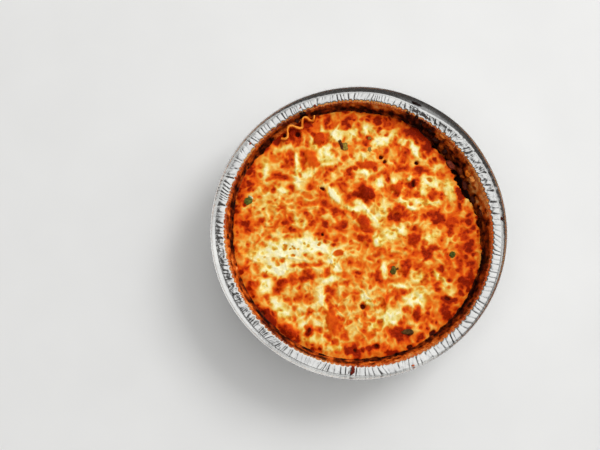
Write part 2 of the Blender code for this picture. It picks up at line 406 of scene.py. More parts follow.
def panPoints(radius, height, angle, p):
    # moves the plain turned surface for crimps, flutes, wrinkles, the oval and the bent lip
    seed = p["seed"]
    wallR, wallZ = p["wallTop"]
    footZ = p["wallFoot"][1]
    flangeIn, flangeOut, _ = p["flange"]
    lipR = p["lip"][0]
    turned = radius
    fold, depth, crumpled = crimpShape(angle, radius, p)
    cx, cy = onCircle(p["noiseAt"], angle)

    # pleats and dents of the flange, and the flutes below them
    onFlange = ease((radius - wallR) / 0.9) * ease((flangeOut + 0.35 - radius) / (1.1 - 0.6 * crumpled))
    dent, dentMore, size = p["dents"]
    crumple = (dent + dentMore * crumpled) * layers(*onCircle(radius, angle), size, seed + 9, 2)
    height = height + onFlange * (depth * (fold - 0.7) + crumple)
    across = acrossFlange(radius, p)
    flatter = swell(angle, p["flatter"]) * (1 - (2 * across - 1) ** 2)
    height = height + onFlange * (swell(angle, p["tilt"]) * (across - 0.35) - flatter)
    atTop = ease((height - 39.0) / 2) * ease((flangeIn + 1.2 - radius) / 1.0)
    radius = radius + atTop * p["fluteTop"] * (fold - 0.62) * depth
    upWall = np.clip((height - footZ) / (wallZ - footZ), 0, 1)
    onWall = upWall ** 1.3 * ease((flangeIn - radius) / 1.0)
    most, size = p["wallWrinkle"]
    wrinkle = most * layers(cx, cy + 3 * height, size, seed + 20, 3)
    radius = radius + onWall * (p["fluteDepth"] * (fold - 0.3) + wrinkle)

    # the lip waves, leans and dips, and the base is a little wavy
    onLip = ease((radius - flangeOut) / 1.2)
    radius = radius + onLip * (0.05 * (fold - 0.9) + 0.04 * ripple(cx, cy, 3.0, seed + 30))
    dip, long, short = p["lipDips"]
    wave = ripple(cx, cy, long, seed + 31) * ripple(cx, cy, short, seed + 32)
    nick, size = p["lipNicks"]
    height = height + onLip * (dip * np.minimum(wave, 0.1) - nick * np.abs(ripple(cx, cy, size, seed + 33)))
    radius = radius + onLip * swell(angle, p["lipFlare"])
    height = height - onLip * swell(angle, p["lipLow"])
    onBase = ease((p["panel"][0] - radius) / 3) * (height < 5)
    most, size = p["baseWave"]
    height = height + onBase * most * (layers(*onCircle(radius, angle), size, seed + 40, 2) - 0.3)

    # where the lip is wider, the flange gives way to it
    narrow = acrossFlange(turned, p) * np.clip((lipR - turned) / (lipR - flangeOut - p["fold"][1]), 0, 1)
    radius = radius - narrow * swell(angle, p["lipWide"])
    radius = radius * (1 + (1 - onLip) * ovalAt(angle))
    return *onCircle(radius, angle), height


def foilInside(height, angle, p):
    # radius of the foil's inner face at this height of the wall
    plain = slopeRadius(height, p["wallFoot"], p["wallTop"]) - p["thickness"]
    x, y, _ = panPoints(plain, height, angle + 0 * height, p)
    return np.hypot(x, y)


def flangeTop(radius, angle, p):
    # height of the foil's upper face on the rim
    plain = p["flange"][2] + p["thickness"] + archAt(acrossFlange(radius, p), p)
    return panPoints(radius, plain, angle, p)[2]


# sauce baked onto the wall: pale near the rim and burnt where it meets the cheese
searing = {
    "heights": (32.5, 40.6),     # burnt at this height, and palest at this one
    "levels": (0.25, 0.84),
    # angle, spread, how much paler
    "paler": (
        (18, 12, 0.48), (200, 18, 0.20), (47, 5, 0.22), (61, 7, -0.22), (80, 7, 0.10), (100, 8, -0.28),
        (120, 10, -0.10), (136, 10, -0.24), (160, 8, -0.28), (231, 7, -0.42), (252, 14, -0.26),
        (292, 16, 0.28), (332, 9, -0.30), (352, 9, -0.18), (8, 5, 0.12),
    ),
    # the same, only low on the wall
    "sauce": (
        (118, 12, 0.66), (196, 12, 0.30), (19, 9, 0.25), (248, 16, 0.36), (72, 5, 0.15), (290, 18, 0.24),
        (155, 12, 0.25),
    ),
    # dark up to the flange
    "chunks": (
        (66.5, 1.6, 0.5), (59.5, 2.4, 0.4), (54, 2.0, 0.4), (32, 1.6, 0.35), (114.5, 1.8, 0.5),
        (107, 2.0, 0.25), (347, 3.0, 0.2), (322, 2.5, 0.15), (246, 4.0, 0.15), (225, 3.0, 0.2),
    ),
    "patches": 0.60,             # strength of soft patches and of small dark blots
    "blots": 0.52,
    "blotSizes": (5.5, 0.9, 2.6, 0.6),   # cell size, smallest and largest radius, share of cells
    "colours": (
        (0.00, (26, 9, 6)), (0.14, (50, 16, 8)), (0.30, (88, 28, 9)), (0.45, (128, 46, 11)),
        (0.60, (172, 70, 15)), (0.75, (208, 98, 28)), (0.88, (226, 130, 54)), (1.0, (236, 164, 92)),
    ),
    "seed": 83,
}


def filmAmount(angle, height, p):
    # how much of the inner wall is covered with baked sauce at this height
    cx, cy = onCircle(p["filmAt"], angle)
    top = p["filmTop"] + 0.5 * layers(cx, cy, 7.0, 71, 3) - 0.8 * ease(ripple(cx, cy, 17.0, 74) - 0.2)
    return ease((top - height) / 0.45)


def searAt(angle, radius, height, p):
    # 0 where the sauce on the wall has burnt black, up to 1 where it is pale
    low, high = p["heights"]
    dark, pale = p["levels"]
    x, y = onCircle(radius + height - 32, angle)
    up = np.clip((height - low) / (high - low), 0, 1)
    level = dark + (pale - dark) * up + swell(angle, p["paler"]) * (0.25 + 0.75 * up)
    blot = scattered(x, y, p["seed"], *p["blotSizes"]) * ease((39.5 - height) / 3)
    level = level + swell(angle, p["sauce"]) * ease((36.5 - height) / 2.5) * ease((height - 30) / 2)
    level = level + p["patches"] * layers(x, y, 5.0, p["seed"] + 1, 3) - p["blots"] * blot
    return np.clip(level - swell(angle, p["chunks"]), 0, 1)


def searColour(s):
    blotch = s.noise(0.0040, 3.0, 0.6)
    fine = s.noise(0.0011, 2.0, 0.5)
    level = s.stirred(s.stirred(s.value("sear"), blotch, 0.34), fine, 0.16)
    return s.ramp(level, searing["colours"]), blotch, fine


def foilMaterial():
    s = Shade("bakedFoil")
    brown, blotch, fine = searColour(s)
    metal = s.ramp(s.noise(0.012, 2.0), foilPan["metal"])
    cover = s.span(s.stirred(s.value("film"), fine, 0.5), 0.42, 0.58)
    colour = s.blend(cover, metal, brown)
    crinkle = s.noise(0.0016, 3.0, 0.55, warp=0.6)
    normal = s.bumped(s.noise(0.0045, 2.0, 0.5), 0.22, 0.0004)
    normal = s.bumped(s.math("MULTIPLY", crinkle, s.value("crinkled")), 0.26, 0.00012, after=normal)
    bare = s.span(crinkle, 0.3, 0.7, 0.22, 0.32)
    coated = s.span(blotch, 0.3, 0.7, 0.26, 0.42)
    uncovered = s.math("SUBTRACT", 1.0, cover)
    rough = s.math("ADD", s.math("MULTIPLY", cover, coated), s.math("MULTIPLY", uncovered, bare))
    return s.finish(colour, rough, uncovered, normal)


def makePan(p):
    # a closed shell: the inner face, the rolled hem on the lip, then the outer face back down
    inner = foilFace(p, p["thickness"], (4, 2, 5, 12, 8, 5))[1:]
    hem = [(p["lip"][0] + out, p["lip"][1] + up) for out, up in p["hem"]]
    outer = foilFace(p, 0.0, (2, 1, 3, 5, 5, 3))[:0:-1]
    section = inner + hem + outer
    isInner = (np.arange(len(section)) < len(inner))[:, None]
    around = p["around"]
    radius, height = (np.repeat(column[:, None], around, axis=1) for column in np.array(section).T)
    angle = np.repeat((np.arange(around) * fullTurn / around)[None, :], len(section), axis=0)
    x, y, z = panPoints(radius, height, angle, p)
    film = filmAmount(angle, height, p) * isInner
    sear = searAt(angle, radius, height, searing) * isInner
    middles = [[0, 0, p["panel"][1] + p["thickness"]], [0, 0, p["panel"][1]]]
    points = np.vstack([np.stack([x, y, z], -1).reshape(-1, 3), middles]) * mm
    count = len(section) * around
    faces = [f[::-1] for f in ringFaces(len(section), around)]
    for k in range(around):
        n = (k + 1) % around
        faces.append((count, k, n))
        faces.append((count + 1, count - around + n, count - around + k))
    crinkled = np.where(radius > p["wallTop"][0] + 0.6, 1.0, 0.25)
    values = {"film": np.append(film.ravel(), [1, 0]), "sear": np.append(sear.ravel(), [0, 0]),
              "crinkled": np.append(crinkled.ravel(), [0.25, 0.25])}
    pan = makePiece("foilPanShell", points, faces, foilMaterial(), values)
    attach(pan, "root")
    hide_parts("foil_pan")
    return pan


# the block of food, in millimetres; uneven places as angle, spread in degrees, and how much
lasagnaForm = {
    "cells": 300,            # quads across the top
    "edge": 32.5,            # height of the top at the pan's wall
    "mound": 2.6,            # and how much higher the middle is, reached this far in
    "moundReach": 50,
    "shoulder": 1.0,         # how far the last stretch droops, and how wide that is
    "shoulderReach": 4.5,
    "outline": 76.5,         # radius of the cheese's edge
    "noiseAt": 77,           # which is made ragged on a circle of this radius
    # where that edge swings out or in
    "swings": (
        (24, 12, -7.6), (44, 13, -4.6), (3, 11, -1.8), (150, 16, 1.5), (122, 12, 1.2), (104, 12, 2.0),
        (138, 9, -1.3), (160, 9, 0.6), (180, 12, -0.6), (252, 14, 1.3), (276, 8, -0.6), (350, 8, 0.7),
    ),
    "tufts": (1.1, 1.9, (58, 42)),   # how ragged the edge is, and how much more round this angle
    "tuftSize": 4.0,
    "gutterRun": 2.0,        # the top falls into the gutter over this width
    "gutterDepth": (4.0, 7.0),   # to this depth, shallowest and deepest
    "climb": (134, 26, 3.2, 12),     # the top climbs the foil here: angle, spread, rise and reach inward
    "pocket": (118, 14, 0.5, 70.5, 3.0),   # hollow round the frill, mostly filled with sauce
    "wallFoot": (70.8, 4.4),
    "wallTop": (81.2, 41.2),
    "gap": 0.7,              # the food's side stays this far inside that
    "floor": foodFloor,
}

# places on the top, in millimetres: x, y, half length, half width, turn in degrees, strength
bakedTop = {
    "middle": (0.0, -0.9),   # the cheese lies a little off the pan's axis
    "pale": (
        (-57, 42, 6, 2.4, 90, 0.9), (-37, 38, 9.5, 1.8, 88, 1.0), (-31, 37, 4.5, 3, 10, 0.9),
        (-27, 56, 5.5, 1.8, 120, 0.9), (-19, 49, 7, 4.5, 100, 1.0), (-13, 62, 6.5, 3.2, 30, 1.0),
        (-4, 63, 5, 4, 20, 0.8), (-46, 27.5, 6, 1.5, -35, 1.0), (-14, 24, 5.5, 2.6, -45, 1.1),
        (-36, 8, 4.5, 2.4, -30, 0.9), (-3, 15.5, 5.5, 1.3, -8, 1.0), (-45, 54, 6.5, 1.5, 20, 0.7),
        (-56, 20, 12, 11, 0, 0.45), (-30, -7, 10, 4.5, -8, 1.3), (-47, -9, 13, 5, 3, 1.15),
        (-63, -11, 9, 6, -20, 0.75), (-50, -21.5, 8.5, 3.2, 3, 1.25), (-56, -32, 3, 4.8, 0, 1.0),
        (-47, -46, 8.5, 2.8, -45, 1.0), (-15, -17, 7, 2.6, -65, 1.0), (-17, -27.5, 4.5, 1.6, 20, 0.9),
        (-35, -53, 2, 7, 12, 0.9), (-22, -39, 2, 5, 10, 0.7), (-28, -63.5, 6, 2.4, 0, 0.8),
        (-14, -69, 5.5, 1.8, 0, 0.8), (12.5, -4.5, 4, 3.6, 0, 1.1), (22, 1, 8.5, 4, 10, 0.95),
        (4.5, -40, 6.5, 1.5, -55, 1.0), (15.5, -22, 4.2, 1.8, 100, 0.9), (26, -32, 5.5, 1.2, -5, 1.0),
        (37, -27, 6, 4, 0, 0.8), (36, -38.5, 6.5, 5.5, 0, 1.0), (19, -51, 5.5, 4.6, 0, 1.1),
        (9, -56, 3, 2.2, 0, 1.0), (50, -27, 6.5, 1.8, -45, 0.9), (54, -34, 4, 2.2, -40, 0.7),
        (56, -5, 2.5, 4.5, -20, 0.6), (44, -2, 5.5, 1.8, 15, 0.8), (6, 66, 4.5, 2.6, 10, 0.9),
        (15, 58, 5.5, 2.8, 20, 1.15), (23, 63, 3, 2.4, 30, 0.8), (36, 53, 6, 2, -60, 1.0),
        (29, 58, 2.5, 2, 0, 0.7), (4, 48, 4.5, 2.4, 10, 0.8), (4, 38.5, 5, 1.3, -10, 1.1),
        (13.5, 31.5, 2.6, 2.2, 0, 1.25), (23, 33.5, 2.3, 1.8, 0, 1.0), (45.5, 32, 4.8, 2.8, -10, 1.2),
        (41, 27, 4.2, 3.4, 0, 0.9), (42, 19.5, 8.5, 1.9, 0, 1.0), (57, 27, 2.8, 7, 10, 1.0),
        (30, 18, 5.5, 1.6, -35, 1.15), (7, 12, 9, 1.8, -45, 1.2), (14, 13, 4.5, 9, 0, 0.75),
        (50, 42, 4, 2, -50, 0.5), (32, 34.5, 3, 1.2, 0, 0.9), (-21, 65, 3, 1.4, 0, 0.7),
    ),
    "brown": (
        (-42, 45.5, 2.3, 5.5, -15, 1.2), (-33, 46, 1.8, 5.2, 5, 0.9), (-46, 35.5, 4.8, 1.8, -15, 1.1),
        (-42, 29, 2, 1.4, 0, 1.2), (-23, 60, 4, 4.6, 0, 0.8), (-6, 69.5, 2.5, 4.6, 0, 1.0),
        (-17, 70, 3.4, 3, 0, 0.7), (-28, 47, 3.5, 6, 20, 0.6), (-18, 39, 2.2, 4, 0, 0.9),
        (-4.5, 38.5, 2.8, 2.8, 0, 1.0), (-29, 28.5, 1.8, 1.6, 0, 1.1), (-8, 29, 2, 3.4, 0, 0.9),
        (-7, 22, 2.5, 2.4, 0, 0.8), (-21, 19, 1.9, 1.7, 0, 1.0), (-13, 14, 5, 1.9, -30, 1.0),
        (-26.5, 7, 2, 2.2, 0, 1.0), (-19, 5, 4, 2.2, 0, 0.9), (-10, 3, 3.4, 3.2, 0, 0.9),
        (-44, 9.5, 3.2, 4, 0, 0.9), (-40, 3.5, 4.4, 1.9, 0, 0.8), (-31, 12, 1.6, 4, 30, 0.8),
        (-62, 24, 2.2, 1.6, 0, 0.8), (-53, 28.5, 2.2, 2, 0, 0.8), (-53, 21, 2, 1.8, 0, 0.8),
        (-62, 17, 1.6, 2.2, 0, 0.8), (-48, 15.5, 1.6, 2, 0, 0.8), (-61, 13, 1.6, 1.2, 0, 0.8),
        (-58, 9.5, 2, 2, 0, 0.7), (-66, 7, 5, 4, 0, 0.7), (-67, -8.5, 4.2, 1.8, 35, 1.0),
        (-58, -7, 2.6, 2.6, 0, 0.9), (-43.5, -8, 3.2, 1.1, 60, 1.1), (-50, -3.8, 1.5, 1.5, 0, 0.9),
        (-36.5, -11, 0.8, 2.6, 0, 0.9), (-31.5, -12.5, 2.4, 1.2, 20, 0.9), (-24, -12, 3.2, 1.1, 0, 1.1),
        (-48, -18, 1.7, 1.6, 0, 1.1), (-31, -19, 9.5, 1.0, 3, 1.3), (-57, -25, 3.2, 1.8, -5, 1.1),
        (-69, -21, 3.6, 5.5, -25, 1.0), (-64, -32, 3, 3, 0, 1.0), (-47, -31.5, 8.8, 3.0, 32, 1.2),
        (-32, -26, 5.2, 2.6, 15, 1.1), (-18.5, -23, 4.4, 1.6, 50, 1.2), (-17, -37, 2.3, 6.2, -10, 1.1),
        (-33, -40, 5.2, 2.8, 0, 1.0), (-30, -48, 3.6, 2.2, 0, 1.0), (-22, -1.5, 4.2, 3.8, 0, 1.1),
        (-11, -2, 2.8, 2.8, 0, 0.9), (-12.5, -7, 2.8, 1.3, 10, 0.9), (-6, -18, 3.5, 2.5, 0, 0.7),
        (-2.5, -27, 3.6, 3.6, 0, 0.8), (-16.5, -46, 1.5, 3.2, 0, 0.8), (-30, -58.5, 2.1, 2.7, 0, 1.9),
        (-36.5, -52.5, 3.2, 2, 0, 0.9), (-43, -59, 6.5, 5.5, -40, 0.4), (-54, -52, 6.5, 2.2, -50, 1.6),
        (-16, -53, 4, 7, 0, 0.45), (-28, -68.5, 1.6, 2.4, 0, 1.0), (-2.5, -71, 3, 2, 0, 1.5),
        (5, -3, 4.4, 4.6, 0, 1.0), (15, -11, 5, 3.8, 0, 0.7), (12, -27, 2.8, 2.6, 0, 1.0),
        (12, -18, 2, 2, 0, 0.8), (28.5, -21.5, 2.6, 4.6, -10, 1.5), (19.5, -28.5, 2, 1.6, 0, 0.8),
        (34, -3.5, 4.4, 4.2, 0, 1.1), (42, -12, 2.6, 3, 20, 1.5), (46, -8.5, 2.8, 1.6, 0, 1.2),
        (50, -21, 1.4, 1.4, 0, 1.3), (67, -12, 6, 12, 0, 0.6), (63, -29, 4.6, 3, 0, 1.1),
        (48, -32, 2, 3.2, 0, 1.1), (54, -39.5, 3.6, 1.4, -5, 1.7), (24, -37, 3.4, 3, 0, 0.8),
        (16, -40.5, 3, 2.7, 0, 1.1), (35.5, -48, 2.5, 4.2, -10, 1.2), (26, -54, 2, 3, 0, 1.0),
        (23, -59, 5, 2.4, -10, 1.5), (10.5, -68, 2.2, 1.8, 0, 2.0), (52, -47, 3, 4.6, 0, 1.0),
        (42, -52, 2.2, 3, 0, 0.9), (6, 25, 6.4, 3.6, -25, 1.5), (-9.5, 27.8, 4.5, 0.8, -52, 1.0),
        (34.3, 31.8, 4.2, 2.0, 40, 1.9), (24, 13, 6, 3.0, 38, 1.4), (3.5, 7.5, 3.4, 5, 0, 0.8),
        (6.5, 1.5, 2.6, 2, 0, 1.0), (24, 28.5, 3.2, 3.4, 0, 0.6), (17.5, 35, 1.6, 5, 0, 0.9),
        (7.5, 43.3, 6, 2.2, 0, 0.6), (7, 58.5, 2, 2.8, 0, 1.1), (29, 41.5, 3.6, 3.6, 0, 0.9),
        (38.5, 40, 4.2, 2.0, -10, 1.3), (31, 52, 3, 3, 0, 0.9), (25, 54, 2.2, 1.6, 0, 0.7),
        (15, 72, 4.2, 2, 0, 1.0), (38, 57, 2, 2.6, 0, 1.0), (30, 62, 3, 3.6, 0, 0.8),
        (40, 62, 6.5, 2.6, -40, 1.1), (45, 54, 3.6, 4, -30, 0.8), (47, 45, 1.8, 2, 0, 0.8),
        (47, 24, 4, 3.4, 0, 0.7), (34, 25, 2.8, 2.8, 0, 0.9), (49.5, 13, 1.8, 1.2, 0, 1.2),
        (44, 12, 9.5, 3.6, -5, 0.6), (50, 8, 5.4, 2.2, 0, 1.0), (56.5, 4.5, 2.4, 1.8, 0, 0.9),
        (36, 2, 4, 2.6, 0, 0.8), (63, 22, 3, 5, 10, 0.9), (70, 12, 3, 6, 0, 0.8),
    ),
    "strands": (   # thin strings: from x, y to x, y, width, strength
        (2, -34, 9, -44, 0.6, 0.9), (-16, -42, -9, -50, 0.5, 0.9), (-5, -47, -10, -57, 0.5, 0.8),
        (-3, -50, 3, -55, 0.5, 0.7), (31, -42.5, 36, -41.5, 0.8, 1.0), (36, -41.5, 41, -47, 0.7, 0.8),
        (-47, -14, -30, -16, 0.8, 0.9), (46, -22, 56, -31, 0.7, 0.8), (26, 22, 34, 15, 0.7, 0.9),
        (-14, -8, -17, -24, 0.6, 0.8), (3, 18, 13, 6, 0.8, 0.8), (38, 19, 50, 20.5, 0.7, 0.7),
        (-38, 50, -36.5, 28, 0.9, 0.9), (-55, 50, -57, 36, 0.8, 0.7), (0, 66, 16, 57, 0.7, 0.7),
        (-24, -60, -17, -66, 0.6, 0.7), (-8, -39, -16, -47, 0.5, 0.7), (-2, -56, 4, -62, 0.5, 0.6),
        (56, 34, 57.5, 21, 0.8, 0.8), (6, -36, 12, -48, 0.5, 0.7),
    ),
    "sheets": (   # smooth flaps of noodle and cheese: x, y, half length, half width, turn, tone, rise
        (-28.5, 47, 6.2, 3.4, 112, -0.15, 0.6), (-14.5, 24, 5.6, 2.2, -52, 1.7, 0.6),
        (-43, -59, 6.0, 4.4, -38, -0.20, 0.3), (-16, -53, 7.5, 3.8, 98, -0.30, 0.7),
        (7, 43, 5.4, 2.2, 5, -0.45, 0.4), (-12, -12, 3.6, 2.2, 20, -0.40, 0.5),
        (24, 28.5, 3.4, 3.2, 0, -0.40, 0.7), (3.5, 7.5, 3.2, 5.0, 10, -0.45, 0.5),
        (34, -3.5, 4.0, 3.8, 0, -0.85, 0.4), (-23, 60, 4.2, 3.4, 70, -0.55, 0.5),
        (6, 25, 5.8, 3.3, -25, -1.3, 0.4), (24, -58, 3.0, 2.2, 0, -0.8, 0.3),
        (58, 8, 3.5, 2.6, 20, -0.5, 0.4),
    ),
    "lifts": (   # broad zones that are paler or browner than the rest
        (69, 18, 5, 7, 10, 1.0), (61, 33, 4, 4, 0, 0.3), (-46, 60, 5, 4, 30, -0.55),
        (-38, 64.5, 5, 3.6, 30, -0.7), (-31, 70, 5, 4, 20, -0.6), (-72, -19, 5, 10, 15, 0.5),
        (-48, -57, 6, 5, 0, 0.35), (-25, -71, 8, 4, -20, 0.4), (75, -11, 4, 8, 0, 0.5),
        (37, -66, 6, 4, 30, 0.35), (-71, 27, 4, 7, -20, -0.5), (8, -6, 6, 5, 0, 0.15),
        (-9, -8, 8, 7, 0, 0.40), (7, -11, 7, 5, 0, 0.12), (-10, 5, 6, 6, 0, 0.20),
        (0, -12, 5, 4, 0, -0.15), (-25, -15, 8, 8, 0, 0.30), (-14, -24, 8, 7, 0, 0.25),
        (-14, 23, 8, 7, 0, -0.40), (-38, -22, 9, 8, 0, 0.20), (-22, -38, 9, 8, 0, 0.35),
        (22, -38, 9, 8, 0, 0.30), (38, -22, 9, 8, 0, -0.40), (-22, 38, 9, 8, 0, 0.20),
        (58, 0, 9, 12, 0, -0.35), (50, 29, 9, 9, 0, -0.20), (-50, -29, 9, 10, 0, 0.25),
        (-29, -50, 10, 9, 0, 0.75), (50, -29, 9, 10, 0, -0.30), (-59, 34, 8, 10, 30, -0.25),
        (-59, -34, 7, 10, 30, 0.20), (-34, -59, 9, 6, -30, -0.40),
    ),
    "pools": (   # nearly whole white cheese with small pits
        (-42, -9.5, 13, 5.5, 2, 0.9), (-27, -7.5, 8, 4.0, -8, 0.8), (-49, -21, 9, 3.6, 3, 0.85),
        (-60, -13, 7, 5, -20, 0.6), (-56, -31, 3.4, 4.4, 0, 0.6), (36, -38, 6, 4.6, 0, 0.45),
        (14.5, 58, 5, 2.6, 20, 0.5), (13.5, 31.5, 2.8, 2.2, 0, 0.8), (45, 31.5, 4.6, 2.8, -10, 0.7),
        (57, 27, 2.6, 6, 10, 0.6), (19, -51, 5, 3.8, 0, 0.5), (-19, 50, 5, 3.4, 100, 0.5),
    ),
    "saucy": (   # red oily places with few pale strings
        (-47, 61.5, 6, 4.5, 30, 1.0), (-37, 63.0, 7, 4.5, 25, 1.0), (-29, 69.5, 6, 5, 20, 1.0),
        (-57, 51, 6, 4, 45, 0.6), (-33, 41, 5, 4, 0, 0.3), (62, 8, 6, 14, 0, 0.5),
        (60, 33, 6, 9, 25, 0.5), (50, -48, 9, 6, -45, 0.5), (30, -66, 14, 5, 20, 0.6),
        (-2, -72, 12, 5, 0, 0.6), (66, -22, 5, 12, -15, 0.5), (-63, -40, 5, 12, 30, 0.5),
        (-70, 5, 4, 14, 0, 0.5), (33, 66, 12, 5, -30, 0.6), (4, 73, 10, 4, 0, 0.5),
        (-42, -60, 9, 5, -40, 0.6),
    ),
    # burnt stretches of the edge: angle, spread, how deep
    "scorched": ((226, 4, 1.6), (2, 9, 1.0), (345, 7, 1.0), (305, 5, 0.6), (322, 4, 0.6), (118, 16, -1.5)),
    "shreds": 560,
    # how far the edges of the marks wander, and over what length
    "warp": (1.2, 5.5),
    "fineWarp": (0.30, 2.4),
    "crumbWarp": (1.1, 4.0),
    # cell size, smallest and largest radius, and the share of cells that hold one
    "blobs": (5.8, 1.1, 3.0, 0.85),
    "pores": (3.2, 0.7, 1.5, 0.75),
    "pits": (4.4, 0.7, 1.9, 0.8),
    # mesh size and sharpness of the thin pale lines
    "net": (5.4, 1.9),
    "lace": (3.6, 1.7),
    "broad": 6.5,            # sizes of the broad and of the fine unevenness
    "grain": 3.4,
    # how much each kind of mark lightens the cheese, or darkens it
    "weights": {"pale": 0.90, "brown": -0.95, "browner": -0.5, "broad": 0.70, "blob": -0.75, "net": 0.70,
                "lace": 0.28, "grain": 0.15, "shreds": 0.20, "strings": 0.6, "pore": -0.32},
    # and how far it stands up
    "rises": {"shreds": 0.42, "strings": 0.35, "blob": 0.20, "pore": -0.20, "grain": 0.16, "net": 0.18},
    # each pit is also painted dark over its width: painted shade in the hollow, on top of the burnt colour
    "holes": (   # dark pits: x, y, radius, depth
        (-45, 62.2, 1.5, 3.2), (-36.8, 62.8, 1.6, 3.4), (-21.6, 28, 1.3, 1.4), (-21.6, -0.6, 1.2, 2.0),
        (-57.8, -47.6, 1.9, 2.2), (3, -44.6, 1.9, 2.4), (14.8, 48.3, 1.2, 2.0), (16.7, 45, 0.9, 1.2),
        (36.6, 44.4, 1.3, 2.0), (10.5, -68.2, 1.5, 1.6), (34, 30.6, 1.4, 1.0), (54, -39.3, 1.4, 1.0),
        (31, -60, 2.0, 0.8), (-2.5, -71, 1.3, 1.2), (31, -69, 1.8, 1.2), (44.5, -60.5, 2.2, 1.6),
    ),
    "domes": (   # raised browned bubbles: x, y, radius, rise
        (5.9, 25.4, 6.2, 1.7), (24.2, 15, 4.8, 1.3), (33.8, 33.1, 4.6, 1.0), (27.5, -21.5, 4.4, 1.4),
        (24, 28.5, 3.6, 1.2), (16, -40.5, 3.4, 1.4), (-30, -58.5, 2.8, 1.1), (15, -11, 4.8, 0.9),
        (-42, 45.5, 3.8, 0.9), (-47, -31.5, 5.0, 0.8), (5, -3, 4.4, 0.9), (34, -4, 4.4, 0.9),
        (-22, -2, 4.4, 0.9), (35, -48, 4.0, 1.1), (-23, 60, 4.4, 0.9), (3.5, 7.5, 4.6, 0.8),
        (-43, -59, 6.5, 0.8), (-16, -53, 5.5, 0.8), (-28, 47, 5.0, 0.9), (51, -47, 4.4, 0.8),
        (29, 41, 4.0, 0.8), (48, 24, 4.4, 0.7), (63, -28, 4.4, 0.8), (-67, 6, 4.4, 0.7),
        (-39, 65, 6.0, 1.9), (-32, 69, 5.0, 1.9), (-47, 60, 4.0, 1.0),
    ),
    "seed": 23,
}


def outlineAt(angle, f):
    # radius of the cheese's edge in this direction
    plain, more, (middle, spread) = f["tufts"]
    uneven = layers(*onCircle(f["noiseAt"], angle), f["tuftSize"], 57, 3)
    ragged = (plain + more * bump(angle, middle, spread)) * uneven
    return f["outline"] + swell(angle, f["swings"]) + ragged


def gutterDrop(distance, angle, f):
    # depth of the gutter round the cheese, or of the hollow round the frill
    edge = outlineAt(angle, f)
    shallow, deep = f["gutterDepth"]
    depth = np.minimum(deep, shallow + np.maximum(f["outline"] - edge, 0))
    drop = depth * ease((distance - edge) / f["gutterRun"])
    middle, halfWidth, pocketDepth, inner, slope = f["pocket"]
    across = ease(3 * (1.3 - turnBetween(angle, math.radians(middle)) / math.radians(halfWidth)))
    return np.maximum(drop, pocketDepth * across * ease((distance - inner) / slope))


def wallClimb(inward, angle, f):
    # where the cheese has crept up the foil
    middle, spread, rise, reach = f["climb"]
    return rise * bump(angle, middle, spread) * ease(1 - inward / reach)


def shoulderDrop(inward, angle, f):
    # the top droops unevenly where it nears the pan
    uneven = 1 + 0.35 * np.sin(9 * angle + 1) + 0.25 * np.sin(17 * angle + 2)
    return f["shoulder"] * uneven * ease(1 - inward / f["shoulderReach"])


def wallAt(height, angle, f):
    # radius of the food's side
    return slopeRadius(height, f["wallFoot"], f["wallTop"]) * (1 + ovalAt(angle)) - f["gap"]


def edgeLevel(distance, rim, angle, f):
    # height of the top where it meets the pan, before it rises to the middle
    inward = np.maximum(rim - distance, 0)
    level = f["edge"] + wallClimb(inward, angle, f) - shoulderDrop(inward, angle, f)
    return level - gutterDrop(distance, angle, f)


def topLevel(distance, rim, angle, f):
    # height of the baked top without its small relief
    mound = f["mound"] * ease(np.maximum(rim - distance, 0) / f["moundReach"])
    return edgeLevel(distance, rim, angle, f) + mound


def rimAt(angle, f):
    # radius at which the falling edge of the top meets the wall, found by halving
    inner = np.full_like(angle, f["wallFoot"][0])
    outer = np.full_like(angle, f["wallTop"][0])
    for _ in range(24):
        middle = (inner + outer) / 2
        inside = middle < wallAt(edgeLevel(middle, middle, angle, f), angle, f)
        inner = np.where(inside, middle, inner)
        outer = np.where(inside, outer, middle)
    return (inner + outer) / 2


def discGrid(cells):
    # a square grid pressed into a disc: share of the radius and angle at each point
    steps = np.linspace(-1, 1, cells + 1)
    u, v = np.meshgrid(steps, steps)
    wide = np.abs(u) > np.abs(v)
    big = np.where(wide, u, v)
    safe = np.where(big == 0, 1, big)
    angle = np.where(wide, math.pi / 4 * v / safe, math.pi / 2 - math.pi / 4 * u / safe)
    angle = np.where(big < 0, angle + math.pi, angle)
    return np.abs(big), angle % fullTurn


def ovalAway(dx, dy, length, width, turn):
    # distance from the middle of a turned oval, 1 at its edge
    c, s = math.cos(math.radians(turn)), math.sin(math.radians(turn))
    return np.hypot((dx * c + dy * s) / length, (dy * c - dx * s) / width)


def spots(x, y, places):
    # strongest of a list of soft ovals
    total = np.zeros_like(x)
    for px, py, length, width, turn, strength in places:
        reach = 3 * max(length, width)
        near = (np.abs(x - px) < reach) & (np.abs(y - py) < reach)
        away = ovalAway(x[near] - px, y[near] - py, length, width, turn)
        total[near] = np.maximum(total[near], strength * np.exp(-0.55 * away ** 2.7))
    return total


def shredField(x, y, count, seed):
    # melted shreds of cheese lying every way, as soft ridges from 0 to 1
    draw = random.Random(seed)
    total = np.zeros_like(x)
    for _ in range(count):
        distance = 74 * math.sqrt(draw.random())
        angle = draw.uniform(0, fullTurn)
        px, py = distance * math.cos(angle), distance * math.sin(angle)
        heading = draw.gauss(1.1, 0.9)
        curl = draw.uniform(-0.13, 0.13)
        length = draw.uniform(5, 15)
        width = draw.uniform(0.45, 0.95)
        strength = draw.uniform(0.5, 1.0)
        for step in range(int(length)):
            # one millimetre further along the curl
            near = (np.abs(x - px) < 2.6) & (np.abs(y - py) < 2.6)
            taper = math.sin(math.pi * (step + 0.5) / length) ** 0.5
            away = ((x[near] - px) ** 2 + (y[near] - py) ** 2) / (width * taper + 0.15) ** 2
            total[near] = np.maximum(total[near], strength * np.exp(-0.8 * away))
            px += math.cos(heading)
            py += math.sin(heading)
            heading += curl
    return total


